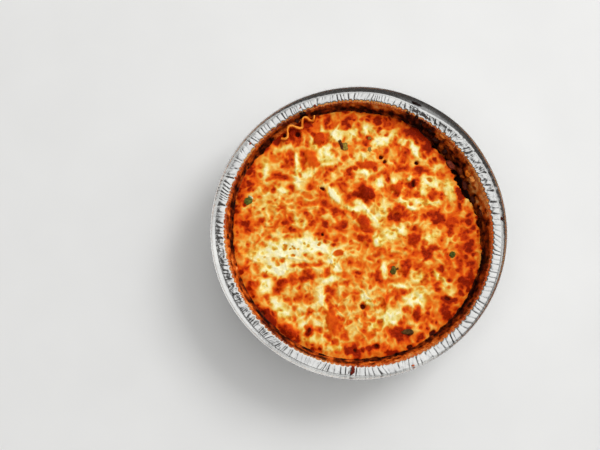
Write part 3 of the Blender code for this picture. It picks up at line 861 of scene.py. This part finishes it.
def strandField(x, y, strands):
    # thin stretched strings of cheese, each from one end to the other
    total = np.zeros_like(x)
    for ax, ay, bx, by, width, strength in strands:
        dx, dy = bx - ax, by - ay
        along = np.clip(((x - ax) * dx + (y - ay) * dy) / (dx * dx + dy * dy), 0, 1)
        away = np.hypot(x - ax - along * dx, y - ay - along * dy) / width
        total = np.maximum(total, strength * np.exp(-0.9 * away ** 2))
    return total


def warped(x, y, amount, size, seeds):
    # the same places, pushed about by hills of this size
    return x + amount * layers(x, y, size, seeds[0], 2), y + amount * layers(x, y, size, seeds[1], 2)


def cheeseMarks(x, y, wx, wy, fromEdge, b):
    # every kind of mark in the cheese, each 0 to 1 or a little more; wx, wy are the places with wavy edges
    seed = b["seed"]
    cx, cy = warped(x, y, *b["crumbWarp"], (seed + 18, seed + 19))
    marks = {
        "pale": spots(wx, wy, b["pale"]),
        "brown": spots(wx, wy, b["brown"]),
        "shreds": shredField(wx, wy, b["shreds"], seed + 5),
        "strings": strandField(wx, wy, b["strands"]),
        "blob": scattered(cx, cy, seed + 6, *b["blobs"]),
        "pore": scattered(cx, cy, seed + 7, *b["pores"]),
        "broad": layers(x, y, b["broad"], seed + 8, 2),
        "grain": layers(wx, wy, b["grain"], seed + 9, 2, 0.4),
        "pit": scattered(cx, cy, seed + 25, *b["pits"]),
        "pool": spots((x + wx) / 2, (y + wy) / 2, b["pools"]),
        "oil": np.clip(spots(wx, wy, b["saucy"]) + 0.35 * ease(1 - fromEdge / 9), 0, 1),
    }
    marks["net"] = web(cx, cy, seed + 20, *b["net"]) * (1 - 0.6 * marks["oil"])
    marks["lace"] = web(cx, cy, seed + 21, *b["lace"]) * (1 - 0.4 * marks["oil"])
    return marks


def cheeseTone(x, y, wx, wy, marks, b):
    # how pale the cheese is before it is ranked, and how far bare flaps of noodle stand up
    pale, brown = marks["pale"], marks["brown"]
    counted = dict(marks, pale=np.minimum(pale, 0.9), brown=np.minimum(brown, 1.1),
                   browner=np.maximum(brown - 1.1, 0), pore=(1 + 1.2 * pale) * marks["pore"])
    tone = sum(weight * counted[kind] for kind, weight in b["weights"].items())
    for *oval, amount in b["lifts"]:
        tone = tone + spots(x, y, ((*oval, 1.0),)) * amount
    pool = marks["pool"]
    tone = tone * (1 - 0.55 * pool) + pool * (1.25 - 2.3 * marks["pit"]) + 0.05 * marks["oil"]
    bare = np.zeros_like(x)
    for px, py, length, width, turn, level, rise in b["sheets"]:
        away = ovalAway(wx - px, wy - py, length, width, turn)
        inside = ease((1.15 - away - 0.22 * marks["grain"]) / 0.35)
        tone = tone * (1 - 0.82 * inside) + 0.82 * inside * level
        bare = np.maximum(bare, inside * rise)
    return tone, bare


def cheeseRelief(x, y, wx, wy, marks, bake, bare, b):
    # small ups and downs of the top in millimetres, and 1 inside the pits
    relief = 0.50 * layers(x, y, 11.0, b["seed"] + 11, 2) + 0.35 * (bake - 0.5)
    for kind, rise in b["rises"].items():
        relief = relief + rise * marks[kind]
    relief = relief * (1 - 0.5 * np.minimum(bare, 1)) + 0.8 * bare
    for px, py, radius, rise in b["domes"]:
        relief = relief + rise * ease(1.15 - np.hypot(wx - px, wy - py) / radius)
    hole = np.zeros_like(x)
    for px, py, radius, depth in b["holes"]:
        away = np.hypot(wx - px, wy - py) / radius
        hole = np.maximum(hole, ease(1.5 - away))
        relief = relief - depth * ease(1.45 - away)
    return relief, hole


def bakedFields(x, y, distance, angle, rim, b, f):
    # height of the top, how pale it is, how milky, and how burnt with painted shade in its pits, at every
    # place
    seed = b["seed"]
    fromEdge = outlineAt(angle, f) - distance
    x, y = x - b["middle"][0], y - b["middle"][1]
    amount, size = b["fineWarp"]
    wx, wy = warped(x, y, *b["warp"], (seed + 1, seed + 3))
    wx = wx + amount * ripple(x, y, size, seed + 2)
    wy = wy + amount * ripple(x, y, size, seed + 4)
    marks = cheeseMarks(x, y, wx, wy, fromEdge, b)
    tone, bare = cheeseTone(x, y, wx, wy, marks, b)
    # ranked, so that each shade covers its own share of the top
    ranked = np.sort(tone[distance < 64])
    bake = np.interp(tone, ranked, np.linspace(0, 1, len(ranked)))
    relief, hole = cheeseRelief(x, y, wx, wy, marks, bake, bare, b)
    height = topLevel(distance, rim, angle, f) + relief * (0.25 + 0.75 * ease(fromEdge / 5 + 0.15))

    # colour values
    brown = marks["brown"]
    white = np.maximum(marks["pale"], 1.1 * marks["pool"])
    milk = ease(white - 0.35 * brown + 0.20 * ripple(x, y, 10.0, seed + 13) - 0.08)
    rimDark = ease(1 - fromEdge / 12) * 0.15 + ease(1 - fromEdge / 3.0) * 0.05
    bake = np.clip(bake - rimDark * (1 + 0.6 * ripple(x, y, 6, seed + 15)), 0, 1)
    deepBrown = ease((brown - 1.3) / 0.6) * 0.6
    scorch = swell(angle, b["scorched"]) - 0.5
    burnt = ease((scorch - fromEdge + 1.8 * layers(x, y, 4.4, seed + 16, 2)) / 1.7) * 0.9
    # burnt places, with painted shade added inside the pits
    charAndPitShade = np.clip(np.maximum(np.maximum(deepBrown, burnt), 0.72 * hole), 0, 1)
    return height, bake, milk, charAndPitShade


# screen colours from burnt to palest, for oily and for milky cheese
cheeseColours = {
    "oily": (
        (0.00, (132, 27, 3)), (0.05, (174, 44, 6)), (0.12, (200, 64, 10)), (0.22, (218, 84, 14)),
        (0.34, (227, 104, 22)), (0.46, (230, 122, 32)), (0.56, (232, 141, 46)), (0.66, (233, 160, 63)),
        (0.76, (236, 180, 83)), (0.86, (239, 200, 108)), (0.94, (242, 217, 138)), (1.00, (246, 232, 174)),
    ),
    "milky": (
        (0.00, (146, 50, 5)), (0.12, (188, 84, 12)), (0.28, (202, 116, 26)), (0.45, (210, 142, 42)),
        (0.60, (219, 168, 60)), (0.75, (231, 199, 94)), (0.90, (240, 226, 146)), (1.00, (250, 244, 204)),
    ),
    # this ramp also colours the painted shade inside the pits
    "burnt": ((0.30, (146, 34, 8)), (0.55, (98, 20, 6)), (0.80, (48, 11, 5)), (1.0, (20, 6, 4))),
}


def cheeseMaterial(c):
    s = Shade("bakedCheese")
    speck = s.noise(0.0009, 3.0, 0.55)
    soft = s.noise(0.0022, 2.0, 0.5)
    bake = s.stirred(s.stirred(s.value("bake"), speck, 0.15), soft, 0.12)
    charAndPitShade = s.stirred(s.value("charAndPitShade"), soft, 0.5)
    colour = s.blend(s.value("milk"), s.ramp(bake, c["oily"]), s.ramp(bake, c["milky"]))
    colour = s.blend(s.span(charAndPitShade, 0.18, 0.55), colour, s.ramp(charAndPitShade, c["burnt"]))
    rough = s.span(s.math("ADD", bake, s.math("MULTIPLY", speck, 0.3)), 0.1, 1.1, 0.24, 0.42)
    normal = s.bumped(s.noise(0.0026, 3.0, 0.55), 0.30, 0.0005)
    normal = s.bumped(s.noise(0.0008, 3.0, 0.55), 0.11, 0.00018, after=normal)
    return s.finish(colour, rough, 0.0, normal, Specular_IOR_Level=0.03)


def makeLasagna(b, f):
    share, angle = discGrid(f["cells"])
    table = np.linspace(0, fullTurn, 1441)
    rim = np.interp(angle, table, rimAt(table, f))
    distance = share * rim
    x, y, distance, angle, rim = (a.ravel() for a in (*onCircle(distance, angle), distance, angle, rim))
    height, bake, milk, charAndPitShade = bakedFields(x, y, distance, angle, rim, b, f)
    cells = f["cells"]
    side = cells + 1
    points = np.stack([x, y, height], -1)
    faces = [(r * side + c, r * side + c + 1, (r + 1) * side + c + 1, (r + 1) * side + c)
             for r in range(cells) for c in range(cells)]

    # the grid's outer edge, then a skirt down to the food's foot and floor
    grid = np.arange(side * side).reshape(side, side)
    loop = [int(k) for k in (*grid[0, :-1], *grid[:-1, -1], *grid[-1, :0:-1], *grid[:0:-1, 0])]
    loopAngle = angle[loop]
    footZ = f["wallFoot"][1]
    upper = loop
    for level, spare in ((footZ, 0.0), (f["floor"], 2.2)):
        radius = wallAt(max(level, footZ), loopAngle, f) - spare
        ring = np.stack([*onCircle(radius, loopAngle), np.full(len(loop), level)], -1)
        lower = list(range(len(points), len(points) + len(loop)))
        points = np.vstack([points, ring])
        for k in range(len(loop)):
            n = (k + 1) % len(loop)
            faces.append((upper[n], upper[k], lower[k], lower[n]))
        upper = lower
    faces.append(tuple(upper[::-1]))
    extra = len(points) - side * side
    values = {"bake": np.append(bake, np.full(extra, 0.2)), "milk": np.append(milk, np.zeros(extra)),
              "charAndPitShade": np.append(charAndPitShade, np.full(extra, 0.6))}
    food = makePiece("bakedLasagna", points * mm, faces, cheeseMaterial(cheeseColours), values)
    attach(food, "root")
    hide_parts("lasagna")
    return food


# crust that fills the gutter between the top and the wall, and climbs the foil
crust = {
    "around": foilPan["around"],
    "rows": (13, 17),        # across the gutter, and up the wall
    "start": 0.15,           # begins this far outside the edge of the cheese
    "sunk": 0.12,            # its back lies this deep in the foil
    "wallTo": (38.4, 0.9),   # ends about this high on the wall, give or take this
    "thick": 0.40,
    "pebble": 4.6,           # size of its lumps, and where they stand up most
    "lumpy": ((20, 11, 0.7), (38, 18, 1.0), (60, 12, 0.9), (322, 20, 0.35), (90, 18, 0.35)),
    "paler": ((30, 28, 0.34), (0, 14, 0.10)),    # angle, spread, how much paler the gutter's floor is
    "seed": 61,
}


def crustSheet(angle, p, f):
    # radius and height of the crust's plain surface, row after row from the cheese up the wall
    rim = rimAt(angle, f)
    cx, cy = onCircle(f["noiseAt"], angle)
    start = np.minimum(outlineAt(angle, f) + p["start"], rim - 0.8)
    middle, swing = p["wallTo"]
    upTo = middle + swing * layers(cx, cy, 5.0, p["seed"], 2)
    floorRows, wallRows = p["rows"]
    share = np.linspace(0, 1, floorRows)[:, None]
    distance = start + (rim - 0.3 - start) * share
    low = edgeLevel(distance, rim, angle, f) + 0.12 - 0.7 * ease(1 - share / 0.16)
    share = np.linspace(0.04, 1, wallRows)[:, None]
    height = low[-1:] + (np.maximum(upTo, low[-1:] + 1.2) - low[-1:]) * share
    wall = foilInside(height, angle, foilPan) + p["sunk"]
    radius = np.vstack([distance, wall - p["thick"] * (1 - share ** 4)])
    height = np.vstack([low, height])
    for _ in range(4):
        # rounds the corner between the two
        for sheet in (radius, height):
            sheet[1:-1] = (sheet[:-2] + 2 * sheet[1:-1] + sheet[2:]) / 4
    return radius, height


def makeCrust(p, f):
    around = p["around"]
    angle = (np.arange(around) * fullTurn / around)[None, :]
    radius, height = crustSheet(angle, p, f)

    # lumps stand out square to the surface, as pebbles laid along it
    stepR = np.diff(radius, axis=0, prepend=radius[:1])
    stepZ = np.diff(height, axis=0, prepend=height[:1])
    sx, sy = onCircle(74 + np.cumsum(np.hypot(stepR, stepZ), axis=0), angle)
    near, label = pebbles(sx, sy, p["pebble"], p["seed"] + 3)
    lumps = np.sqrt(np.clip(1 - (near / 0.62) ** 2, 0, 1)) * (0.35 + label)
    amount = 0.10 + swell(angle, p["lumpy"])
    row = np.arange(len(radius))[:, None]
    fade = ease(row / 4) * ease((len(radius) - 1 - row) / 4)
    lift = fade * (amount * 1.15 * lumps + (0.16 + 0.25 * amount) * layers(sx, sy, 2.6, p["seed"] + 5, 2))
    dr = np.gradient(radius, axis=0)
    dz = np.gradient(height, axis=0)
    size = np.maximum(np.hypot(dr, dz), 1e-6)
    radius = radius - lift * dz / size
    height = height + lift * dr / size
    radius = np.minimum(radius, foilInside(height, angle, foilPan) + p["sunk"])
    sear = searAt(angle, radius, height, searing)
    floor = ease((34.5 - height) / 2.5)
    # on the gutter's floor the colour is painted paler toward each lump's raised middle and darker in the
    # gaps between lumps: painted light and shade on the relief, over each lump's own tone
    sear = sear + floor * (swell(angle, p["paler"]) * (0.4 + lumps) - 0.12 * (near > 0.58))

    # the back goes down inside the foil and returns under the food
    shell = [(radius, height)]
    for level in (height[-1:] - 0.1, height.min(axis=0, keepdims=True) - 0.9):
        shell.append((foilInside(level, angle, foilPan) + p["sunk"], level))
    shell.append((np.minimum(radius[:1], wallAt(height[:1] - 3, angle, f) - 2), height[:1] - 0.8))
    points = np.vstack([np.stack([*onCircle(r, angle), z], -1) for r, z in shell])
    faces = ringFaces(len(points), around)
    last = (len(points) - 1) * around
    faces += [(last + k, last + (k + 1) % around, (k + 1) % around, k) for k in range(around)]
    values = {"sear": np.append(np.clip(sear, 0, 1).ravel(), np.zeros(3 * around))}
    piece = makePiece("gutterCrust", points.reshape(-1, 3) * mm, faces, crustMaterial(), values)
    fixNormals(piece)
    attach(piece, "root")
    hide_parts("lasagna")
    return piece


def crustMaterial():
    s = Shade("bakedCrust")
    colour, blotch, _ = searColour(s)
    normal = s.bumped(s.noise(0.0011, 3.0, 0.55), 0.35, 0.00025)
    return s.finish(colour, s.span(blotch, 0.3, 0.7, 0.30, 0.50), 0.0, normal, Specular_IOR_Level=0.08)


# burnt lumps in the gutter
burntLumps = {
    "shades": (0.55, 1.45),  # darkest and lightest share of each lump's own colour
    "mottle": 0.0016,        # size of its mottling, in metres
    "roughness": 0.40,
    "gloss": 0.12,
    "boxy": 0.1,             # how square each lump is, and how uneven
    "uneven": 0.26,
    "seed": 300,
    "places": (   # middle, size, turn in degrees and colour
        ((57.8, 42.6, 32.0), (7.5, 4.4, 3.8), 130, (116, 46, 30)),
        ((68.0, 36.4, 35.8), (4.6, 3.2, 3.4), 112, (218, 116, 28)),
        ((70.2, 32.4, 37.6), (4.4, 3.2, 2.8), 115, (226, 142, 66)),
        ((57.6, 52.6, 34.0), (6.6, 2.2, 2.2), 158, (110, 42, 16)),
        ((61.2, 50.4, 35.6), (4.2, 2.0, 2.0), 165, (96, 34, 14)),
        ((52.6, 57.6, 35.4), (4.8, 2.4, 2.2), 100, (84, 28, 10)),
        ((52.4, 59.2, 38.8), (4.6, 2.0, 1.8), 132, (240, 140, 56)),
        ((49.2, 58.4, 32.6), (5.4, 3.4, 3.0), 150, (64, 22, 10)),
        ((45.6, 63.6, 35.2), (4.2, 2.6, 2.4), 140, (40, 14, 8)),
        ((39.8, 68.0, 36.4), (3.4, 2.2, 2.2), 60, (38, 14, 8)),
        ((55.0, 51.6, 30.8), (5.0, 3.4, 3.0), 60, (60, 22, 11)),
        ((63.8, 38.6, 32.6), (5.4, 3.2, 3.0), 110, (110, 44, 16)),
        ((66.6, 29.8, 31.4), (6.4, 3.4, 3.0), 100, (84, 30, 14)),
        ((71.4, 20.6, 31.4), (5.4, 3.0, 2.6), 105, (70, 24, 10)),
        ((76.0, 12.6, 32.0), (5.0, 2.4, 2.2), 98, (92, 34, 13)),
    ),
}

# sauce dried on the rim, and a near-black strip laid in the fold by the lip, partly burnt sauce and partly
# painted shade
rimSauceAndFoldShade = {
    "shades": (0.6, 1.3),
    "mottle": 0.0012,
    "roughness": 0.4,
    "gloss": 0.12,
    "boxy": 0.0,
    "uneven": 0.34,
    "seed": 400,
    "places": (
        # a near-black strip along the fold between the flange and the lip: the end of burnt sauce spilled
        # over the flange, deepened as painted shade of the fold
        ((35.9, 78.6, 43.0), (6.6, 1.9, 1.5), 155, (30, 16, 12)),
        ((31.2, 74.2, 40.6), (2.8, 2.2, 1.4), 70, (44, 18, 10)),
        ((36.8, 71.2, 40.2), (3.0, 2.4, 1.6), 40, (36, 14, 9)),
        ((-4.0, -82.8, 42.6), (4.4, 2.0, 0.7), 96, (112, 26, 8)),
        ((-4.8, -84.6, 42.8), (2.4, 1.9, 0.9), 60, (96, 22, 8)),
        ((31.4, -80.4, 42.6), (1.7, 1.2, 0.5), 30, (198, 92, 46)),
        ((86.3, 7.4, 42.7), (2.2, 1.1, 0.5), 84, (76, 24, 12)),
        ((-65.6, 53.8, 42.6), (1.9, 1.0, 0.5), 50, (150, 66, 34)),
        ((-35.2, 76.2, 42.5), (3.4, 0.7, 0.4), 62, (156, 84, 52)),
        ((-34.0, 73.4, 40.4), (3.6, 2.2, 1.0), 25, (34, 13, 8)),
        ((-37.2, 69.4, 36.9), (2.4, 3.0, 1.2), 30, (50, 16, 8)),
        ((-26.2, 77.6, 42.2), (2.8, 1.9, 0.8), 100, (116, 38, 12)),
        ((84.3, -14.5, 42.5), (1.2, 0.8, 0.4), 10, (120, 48, 22)),
    ),
}

# chopped pepper in the cheese, and a near-white blob on one bit as its painted highlight
pepperBitsAndHighlight = {
    "shades": (0.35, 1.55),
    "mottle": 0.0015,
    "roughness": 0.45,
    "gloss": 0.10,
    "boxy": 0.35,
    "uneven": 0.42,
    "seed": 500,
    "places": (   # here the place is on the top, and the last number is how far the middle stands out
        ((-9.8, 56.0), (6.6, 2.2, 2.0), 112, (84, 40, 16), 0.20),
        ((-7.4, 54.8), (5.4, 3.6, 1.8), 100, (142, 120, 46), 0.20),
        ((7.8, 52.2), (4.4, 3.0, 1.6), 80, (160, 124, 56), 0.0),
        ((7.9, 60.2), (2.4, 2.2, 1.6), 10, (146, 104, 40), 0.0),
        ((-67.2, 20.6), (5.2, 4.2, 1.8), 30, (92, 98, 36), 0.20),
        # painted highlight: a near-white blob on the edge of the green bit listed before it
        ((-65.6, 23.0), (3.6, 1.4, 1.6), -35, (190, 190, 150), 0.35),
        ((57.6, -12.6), (4.0, 3.4, 1.8), 60, (78, 80, 24), 0.10),
        ((21.4, -22.4), (5.0, 3.4, 1.8), 75, (92, 82, 28), 0.05),
        ((25.0, -21.0), (4.0, 2.6, 1.6), 20, (122, 60, 20), 0.0),
        ((29.8, -59.4), (7.6, 3.4, 1.8), 5, (84, 56, 24), -0.10),
    ),
}


def blobMesh(shape, spot, size, turn, seed, boxy, uneven):
    # one rounded, uneven lump added to shape; returns how many points it took
    made = bmesh.ops.create_icosphere(shape, subdivisions=4, radius=0.5)["verts"]
    turned = Matrix.Rotation(math.radians(turn), 4, "Z")
    where = Matrix.Translation(spot) @ turned @ Matrix.Diagonal((*size, 1))
    co = np.array([v.co[:] for v in made])
    most = np.abs(co).max(axis=1, keepdims=True)
    co = co * (1 - boxy + boxy * 0.5 / most * 0.9)
    wave = layers(co[:, 0] * 9 + co[:, 2] * 5, co[:, 1] * 9 - co[:, 2] * 4, 3.2, seed, 2)
    co = co * (1 + uneven * wave)[:, None]
    for v, place in zip(made, co):
        v.co = where @ Vector(place)
    return len(made)


def layAgainstFoil(shape, p):
    # what meets the foil lies flat on it: on the rim's flange, or inside the wall
    co = np.array([v.co[:] for v in shape.verts])
    x, y, z = co.T
    radius = np.hypot(x, y)
    angle = np.arctan2(y, x) % fullTurn
    wall = foilInside(z, angle, p) - 0.1
    flangeIn, _, flangeZ = p["flange"]
    onRim = radius > flangeIn + 0.3
    inward = np.where(~onRim & (z < flangeZ), np.minimum(1, wall / radius), 1)
    z = np.where(onRim, np.maximum(z, flangeTop(radius, angle, p) - 0.08), z)
    for v, place in zip(shape.verts, np.stack([x * inward, y * inward, z], -1)):
        v.co = place


def makeBlobs(name, p, places, material, node):
    shape = bmesh.new()
    tints = []
    for k, (spot, size, turn, tint) in enumerate(places):
        count = blobMesh(shape, spot, size, turn, p["seed"] + 7 * k, p["boxy"], p["uneven"])
        tints += [linear(tint)] * count
    layAgainstFoil(shape, foilPan)
    mesh = bpy.data.meshes.new(name)
    shape.to_mesh(mesh)
    shape.free()
    mesh.transform(Matrix.Scale(mm, 4))
    layer = mesh.attributes.new("tint", "FLOAT_COLOR", "POINT")
    layer.data.foreach_set("color", np.array(tints, dtype=np.float32).ravel())
    piece = asObject(name, mesh, material)
    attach(piece, "root")
    if node:
        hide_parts(node)
    return piece


def tintedMaterial(name, p):
    # each lump's own colour, mottled between a darker and a lighter share of it
    s = Shade(name)
    tint = s.add("ShaderNodeAttribute", attribute_name="tint").outputs["Color"]
    blotch = s.noise(p["mottle"], 3.0, 0.6)
    scaled = s.add("ShaderNodeVectorMath", operation="SCALE")
    s.feed(scaled.inputs[0], tint)
    s.feed(scaled.inputs["Scale"], s.span(blotch, 0.3, 0.7, *p["shades"]))
    normal = s.bumped(s.noise(p["mottle"] * 0.7, 3.0, 0.55), 0.4, 0.0003)
    rough = s.span(blotch, 0.3, 0.7, p["roughness"], p["roughness"] + 0.15)
    return s.finish(scaled.outputs[0], rough, 0.0, normal, Specular_IOR_Level=p["gloss"])


def onTop(spot, out, b, f):
    # a place on the baked top, or this far above it
    x, y = spot[0] + b["middle"][0], spot[1] + b["middle"][1]
    angle = np.array([math.atan2(y, x) % fullTurn])
    level = topLevel(np.array([math.hypot(x, y)]), rimAt(angle, f), angle, f)
    return x, y, float(level[0]) + out


def makeSmallPieces(b, f):
    burnt = tintedMaterial("burntLump", burntLumps)
    makeBlobs("burntLumps", burntLumps, burntLumps["places"], burnt, "lasagna")
    driedAndFoldShade = tintedMaterial("drySauceAndFoldShade", rimSauceAndFoldShade)
    makeBlobs("rimSauceAndFoldShade", rimSauceAndFoldShade, rimSauceAndFoldShade["places"], driedAndFoldShade, None)
    skinAndHighlight = tintedMaterial("pepperSkinAndHighlight", pepperBitsAndHighlight)
    bits = [(onTop(spot, out, b, f), size, turn, tint)
            for spot, size, turn, tint, out in pepperBitsAndHighlight["places"]]
    makeBlobs("pepperBitsAndHighlight", pepperBitsAndHighlight, bits, skinAndHighlight, "lasagna")


# the sheet of pasta whose frilled edge stands up out of the cheese
frill = {
    # free edge of the pasta from end to end: angle, distance and how far it has sunk
    "edge": (
        (128.9, 75.0, 0.8), (127.9, 73.2, 0.2), (126.4, 72.8, 0.0), (125.2, 74.4, 0.0), (124.2, 76.6, 0.0),
        (122.8, 78.0, 0.0), (121.2, 77.2, 0.2), (119.9, 75.2, 0.7), (118.6, 73.9, 1.8), (117.3, 74.0, 2.6),
        (116.7, 75.6, 1.0), (116.0, 77.4, 0.2), (114.8, 78.5, 0.0), (113.6, 77.8, 0.4), (113.0, 76.4, 1.2),
        (112.2, 75.4, 2.0), (111.2, 75.0, 1.0), (110.4, 76.2, 0.2), (109.9, 77.6, 0.4),
    ),
    "top": frillTop - 0.8,
    "foot": 29.6,
    "thick": 1.5,
    "calm": 0.45,            # how far the foot follows the frill
    "between": 9,            # steps from one point of the edge to the next
    "around": 16,            # points round its section
    "side": 0.32,            # share of them on each side, with the rest over the free edge
    # from the frill's foot to its crest: darker toward the foot, partly the sauce it stands in and partly
    # painted shade, and lighter toward the crest as painted light
    "colours": (
        (0.0, (120, 26, 6)), (0.28, (184, 56, 10)), (0.50, (210, 82, 14)), (0.68, (228, 112, 24)),
        (0.84, (236, 134, 38)), (1.0, (242, 160, 62)),
    ),
}


def throughPoints(points, between):
    # a smooth line through the points
    path = []
    ends = [points[0]] + list(points) + [points[-1]]
    for k in range(len(points) - 1):
        a, b, c, d = (np.array(ends[k + i], float) for i in range(4))
        for step in range(between):
            t = step / between
            path.append(0.5 * (2 * b + (c - a) * t + (2 * a - 5 * b + 4 * c - d) * t * t
                               + (3 * b - a - 3 * c + d) * t ** 3))
    path.append(np.array(points[-1], float))
    return np.array(path)


def pastaMaterial():
    s = Shade("bakedPasta")
    # the colour follows how high each point stands, so the crest is painted lighter and the foot painted
    # darker
    colour = s.ramp(s.stirred(s.value("high"), s.noise(0.0034, 3.0), 0.90), frill["colours"])
    normal = s.bumped(s.noise(0.0014, 3.0), 0.5, 0.0004)
    return s.finish(colour, 0.42, 0.0, normal, Specular_IOR_Level=0.15)


def frillRing(p, at, middle, across, half, droop, shoulder):
    # one section: up one side, over the rounded free edge, and down the other side
    ring, high = [], []
    side, height = p["side"], p["top"] - p["foot"]
    for turn in range(p["around"]):
        t = turn / (p["around"] - 1)
        if side <= t <= 1 - side:
            arc = math.pi * (t - side) / (1 - 2 * side)
            sideways, level, rise = half * math.cos(arc), shoulder, half * math.sin(arc)
        else:
            sideways, level, rise = half * (1 if t < 0.5 else -1), min(t, 1 - t) / side * shoulder, 0.0
        mix = p["calm"] + (1 - p["calm"]) * level
        spot = middle * (1 - mix) + at * mix + across * sideways
        ring.append((spot[0], spot[1], p["foot"] + level * (height - droop) + rise))
        # how high the point stands, which the frill's colour follows as painted light and shade
        high.append(level ** 2 * 0.62 + 0.38 * rise / half)
    return ring, high


def makeFrill(p):
    edge = [(*onCircle(r, math.radians(a)), sunk) for a, r, sunk in p["edge"]]
    path = throughPoints(edge, p["between"])
    sunk, path = path[:, 2], path[:, :2]
    count, around = len(path), p["around"]
    window = 2 * p["between"]
    calm = [np.mean(path[max(0, k - window):k + window + 1], axis=0) for k in range(count)]
    middle = np.array(calm) * 0.985
    uneven = layers(path[:, 0], path[:, 1], 3.2, 91, 2)
    shoulder = 1 - p["thick"] / 2 / (p["top"] - p["foot"])
    rings, high = [], []
    for k in range(count):
        ahead = path[min(k + 1, count - 1)] - path[max(k - 1, 0)]
        ahead /= np.hypot(*ahead)
        across = np.array([-ahead[1], ahead[0]])
        half = p["thick"] / 2 * (1 + 0.7 * uneven[k])
        atEnds = 1 - math.sin(math.pi * (k + 0.5) / count) ** 0.35
        droop = sunk[k] + 0.8 * max(uneven[k], -0.3) + 1.2 * atEnds
        ring, level = frillRing(p, path[k], middle[k], across, half, droop, shoulder)
        rings.append(ring)
        high += level
    points = np.array(rings).reshape(-1, 3)
    faces = ringFaces(count, around)
    faces.append(tuple(range(around))[::-1])
    faces.append(tuple((count - 1) * around + turn for turn in range(around)))
    piece = makePiece("frilledNoodle", points * mm, faces, pastaMaterial(), {"high": np.array(high)})
    fixNormals(piece)
    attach(piece, "root")
    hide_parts("noodle_frill")
    return piece


# floor and light; places in metres
studio = {
    "floor": (228, 228, 227),
    "floorReach": 15,
    "window": {"place": (0.80, 0.66, 1.15), "size": 0.62, "power": 11.4},
    "fill": {"place": (-0.50, -0.35, 1.15), "size": 0.60, "power": 2.6},
    "sides": ((0.055, 0.050, 0.046), (1.05, 1.05, 1.04)),   # the sky away from the window and on its side
    "towards": (0.70, 0.62, 0.30),   # direction of the window
    "sideEdge": (0.02, 0.86),    # where one side starts to turn into the other, and ends
    "above": 0.97,           # the soft light overhead, the same way
    "overhead": (0.16, 0.14, 0.97),
    "aboveEdge": (0.66, 0.93),
}


def makeFloor(p):
    s = Shade("paleFloor")
    colour = s.ramp(s.noise(0.05, 2.0), [(0.3, p["floor"]), (0.7, tuple(c + 3 for c in p["floor"]))])
    far = p["floorReach"]
    points = [(-far, -far, 0), (far, -far, 0), (far, far, 0), (-far, far, 0)]
    floor = makePiece("paleFloor", points, [(0, 1, 2, 3)], s.finish(colour, 0.6))
    floor.location.z = -0.0002   # a hair under the pan


def makeLight(name, p):
    lamp = bpy.data.lights.new(name, "AREA")
    lamp.size = p["size"]
    lamp.energy = p["power"]
    lampObject = bpy.data.objects.new(name, lamp)
    lampObject.location = p["place"]
    lampObject.visible_glossy = False   # the foil mirrors the sky only
    towards = Vector((0, 0, 0.03)) - Vector(p["place"])
    lampObject.rotation_euler = towards.to_track_quat("-Z", "Y").to_euler()
    bpy.context.scene.collection.objects.link(lampObject)


def makeSky(p):
    # bright overhead and on the window's side, dark on the other, as reflections in the foil show
    world = bpy.data.worlds.new("studioSky")
    bpy.context.scene.world = world
    world.use_nodes = True
    tree = world.node_tree
    background = tree.nodes["Background"]
    coords = tree.nodes.new("ShaderNodeTexCoord")
    brighter = tree.nodes.new("ShaderNodeMix")
    brighter.data_type = "RGBA"
    brighter.blend_type = "LIGHTEN"
    brighter.inputs["Factor"].default_value = 1.0
    sides = (p["towards"], p["sideEdge"], p["sides"])
    above = (p["overhead"], p["aboveEdge"], ((0, 0, 0), (p["above"],) * 3))
    for socket, (towards, edge, colours) in (("A", sides), ("B", above)):
        facing = tree.nodes.new("ShaderNodeVectorMath")
        facing.operation = "DOT_PRODUCT"
        facing.inputs[1].default_value = Vector(towards).normalized()
        tree.links.new(coords.outputs["Generated"], facing.inputs[0])
        half = tree.nodes.new("ShaderNodeMath")
        half.operation = "MULTIPLY_ADD"
        half.inputs[1].default_value = 0.5
        half.inputs[2].default_value = 0.5
        tree.links.new(facing.outputs["Value"], half.inputs[0])
        ramp = tree.nodes.new("ShaderNodeValToRGB")
        ramp.color_ramp.interpolation = "EASE"
        for element, place, colour in zip(ramp.color_ramp.elements, edge, colours):
            element.position = (place + 1) / 2
            element.color = (*colour, 1)
        tree.links.new(half.outputs[0], ramp.inputs["Fac"])
        tree.links.new(ramp.outputs["Color"], brighter.inputs[socket])
    tree.links.new(brighter.outputs["Result"], background.inputs["Color"])
    background.inputs["Strength"].default_value = 1.0


cameraView = {
    "lens": 55,
    "sensor": 36,
    "tilt": 8.5,             # degrees from straight down
    "distance": 0.553,
    "aim": (-0.0353, 0.00345, 0.042),
    "near": 0.01,
}


def makeCamera(p):
    camera = bpy.data.cameras.new("camera")
    camera.lens = p["lens"]
    camera.sensor_width = p["sensor"]
    camera.clip_start = p["near"]
    cameraObject = bpy.data.objects.new("camera", camera)
    tilt = math.radians(p["tilt"])
    cameraObject.location = Vector(p["aim"]) + p["distance"] * Vector((0, -math.sin(tilt), math.cos(tilt)))
    cameraObject.rotation_euler = (tilt, 0, 0)
    bpy.context.scene.collection.objects.link(cameraObject)
    bpy.context.scene.camera = cameraObject


makePan(foilPan)
print("foil pan made")
makeLasagna(bakedTop, lasagnaForm)
print("baked top made")
makeCrust(crust, lasagnaForm)
print("gutter crust made")
makeSmallPieces(bakedTop, lasagnaForm)
print("burnt lumps, rim sauce and pepper made")
makeFrill(frill)
print("noodle frill made")
makeFloor(studio)
makeLight("window", studio["window"])
makeLight("fill", studio["fill"])
makeSky(studio)
makeCamera(cameraView)
bpy.context.scene.view_settings.view_transform = "Standard"
print("floor, light and camera set")
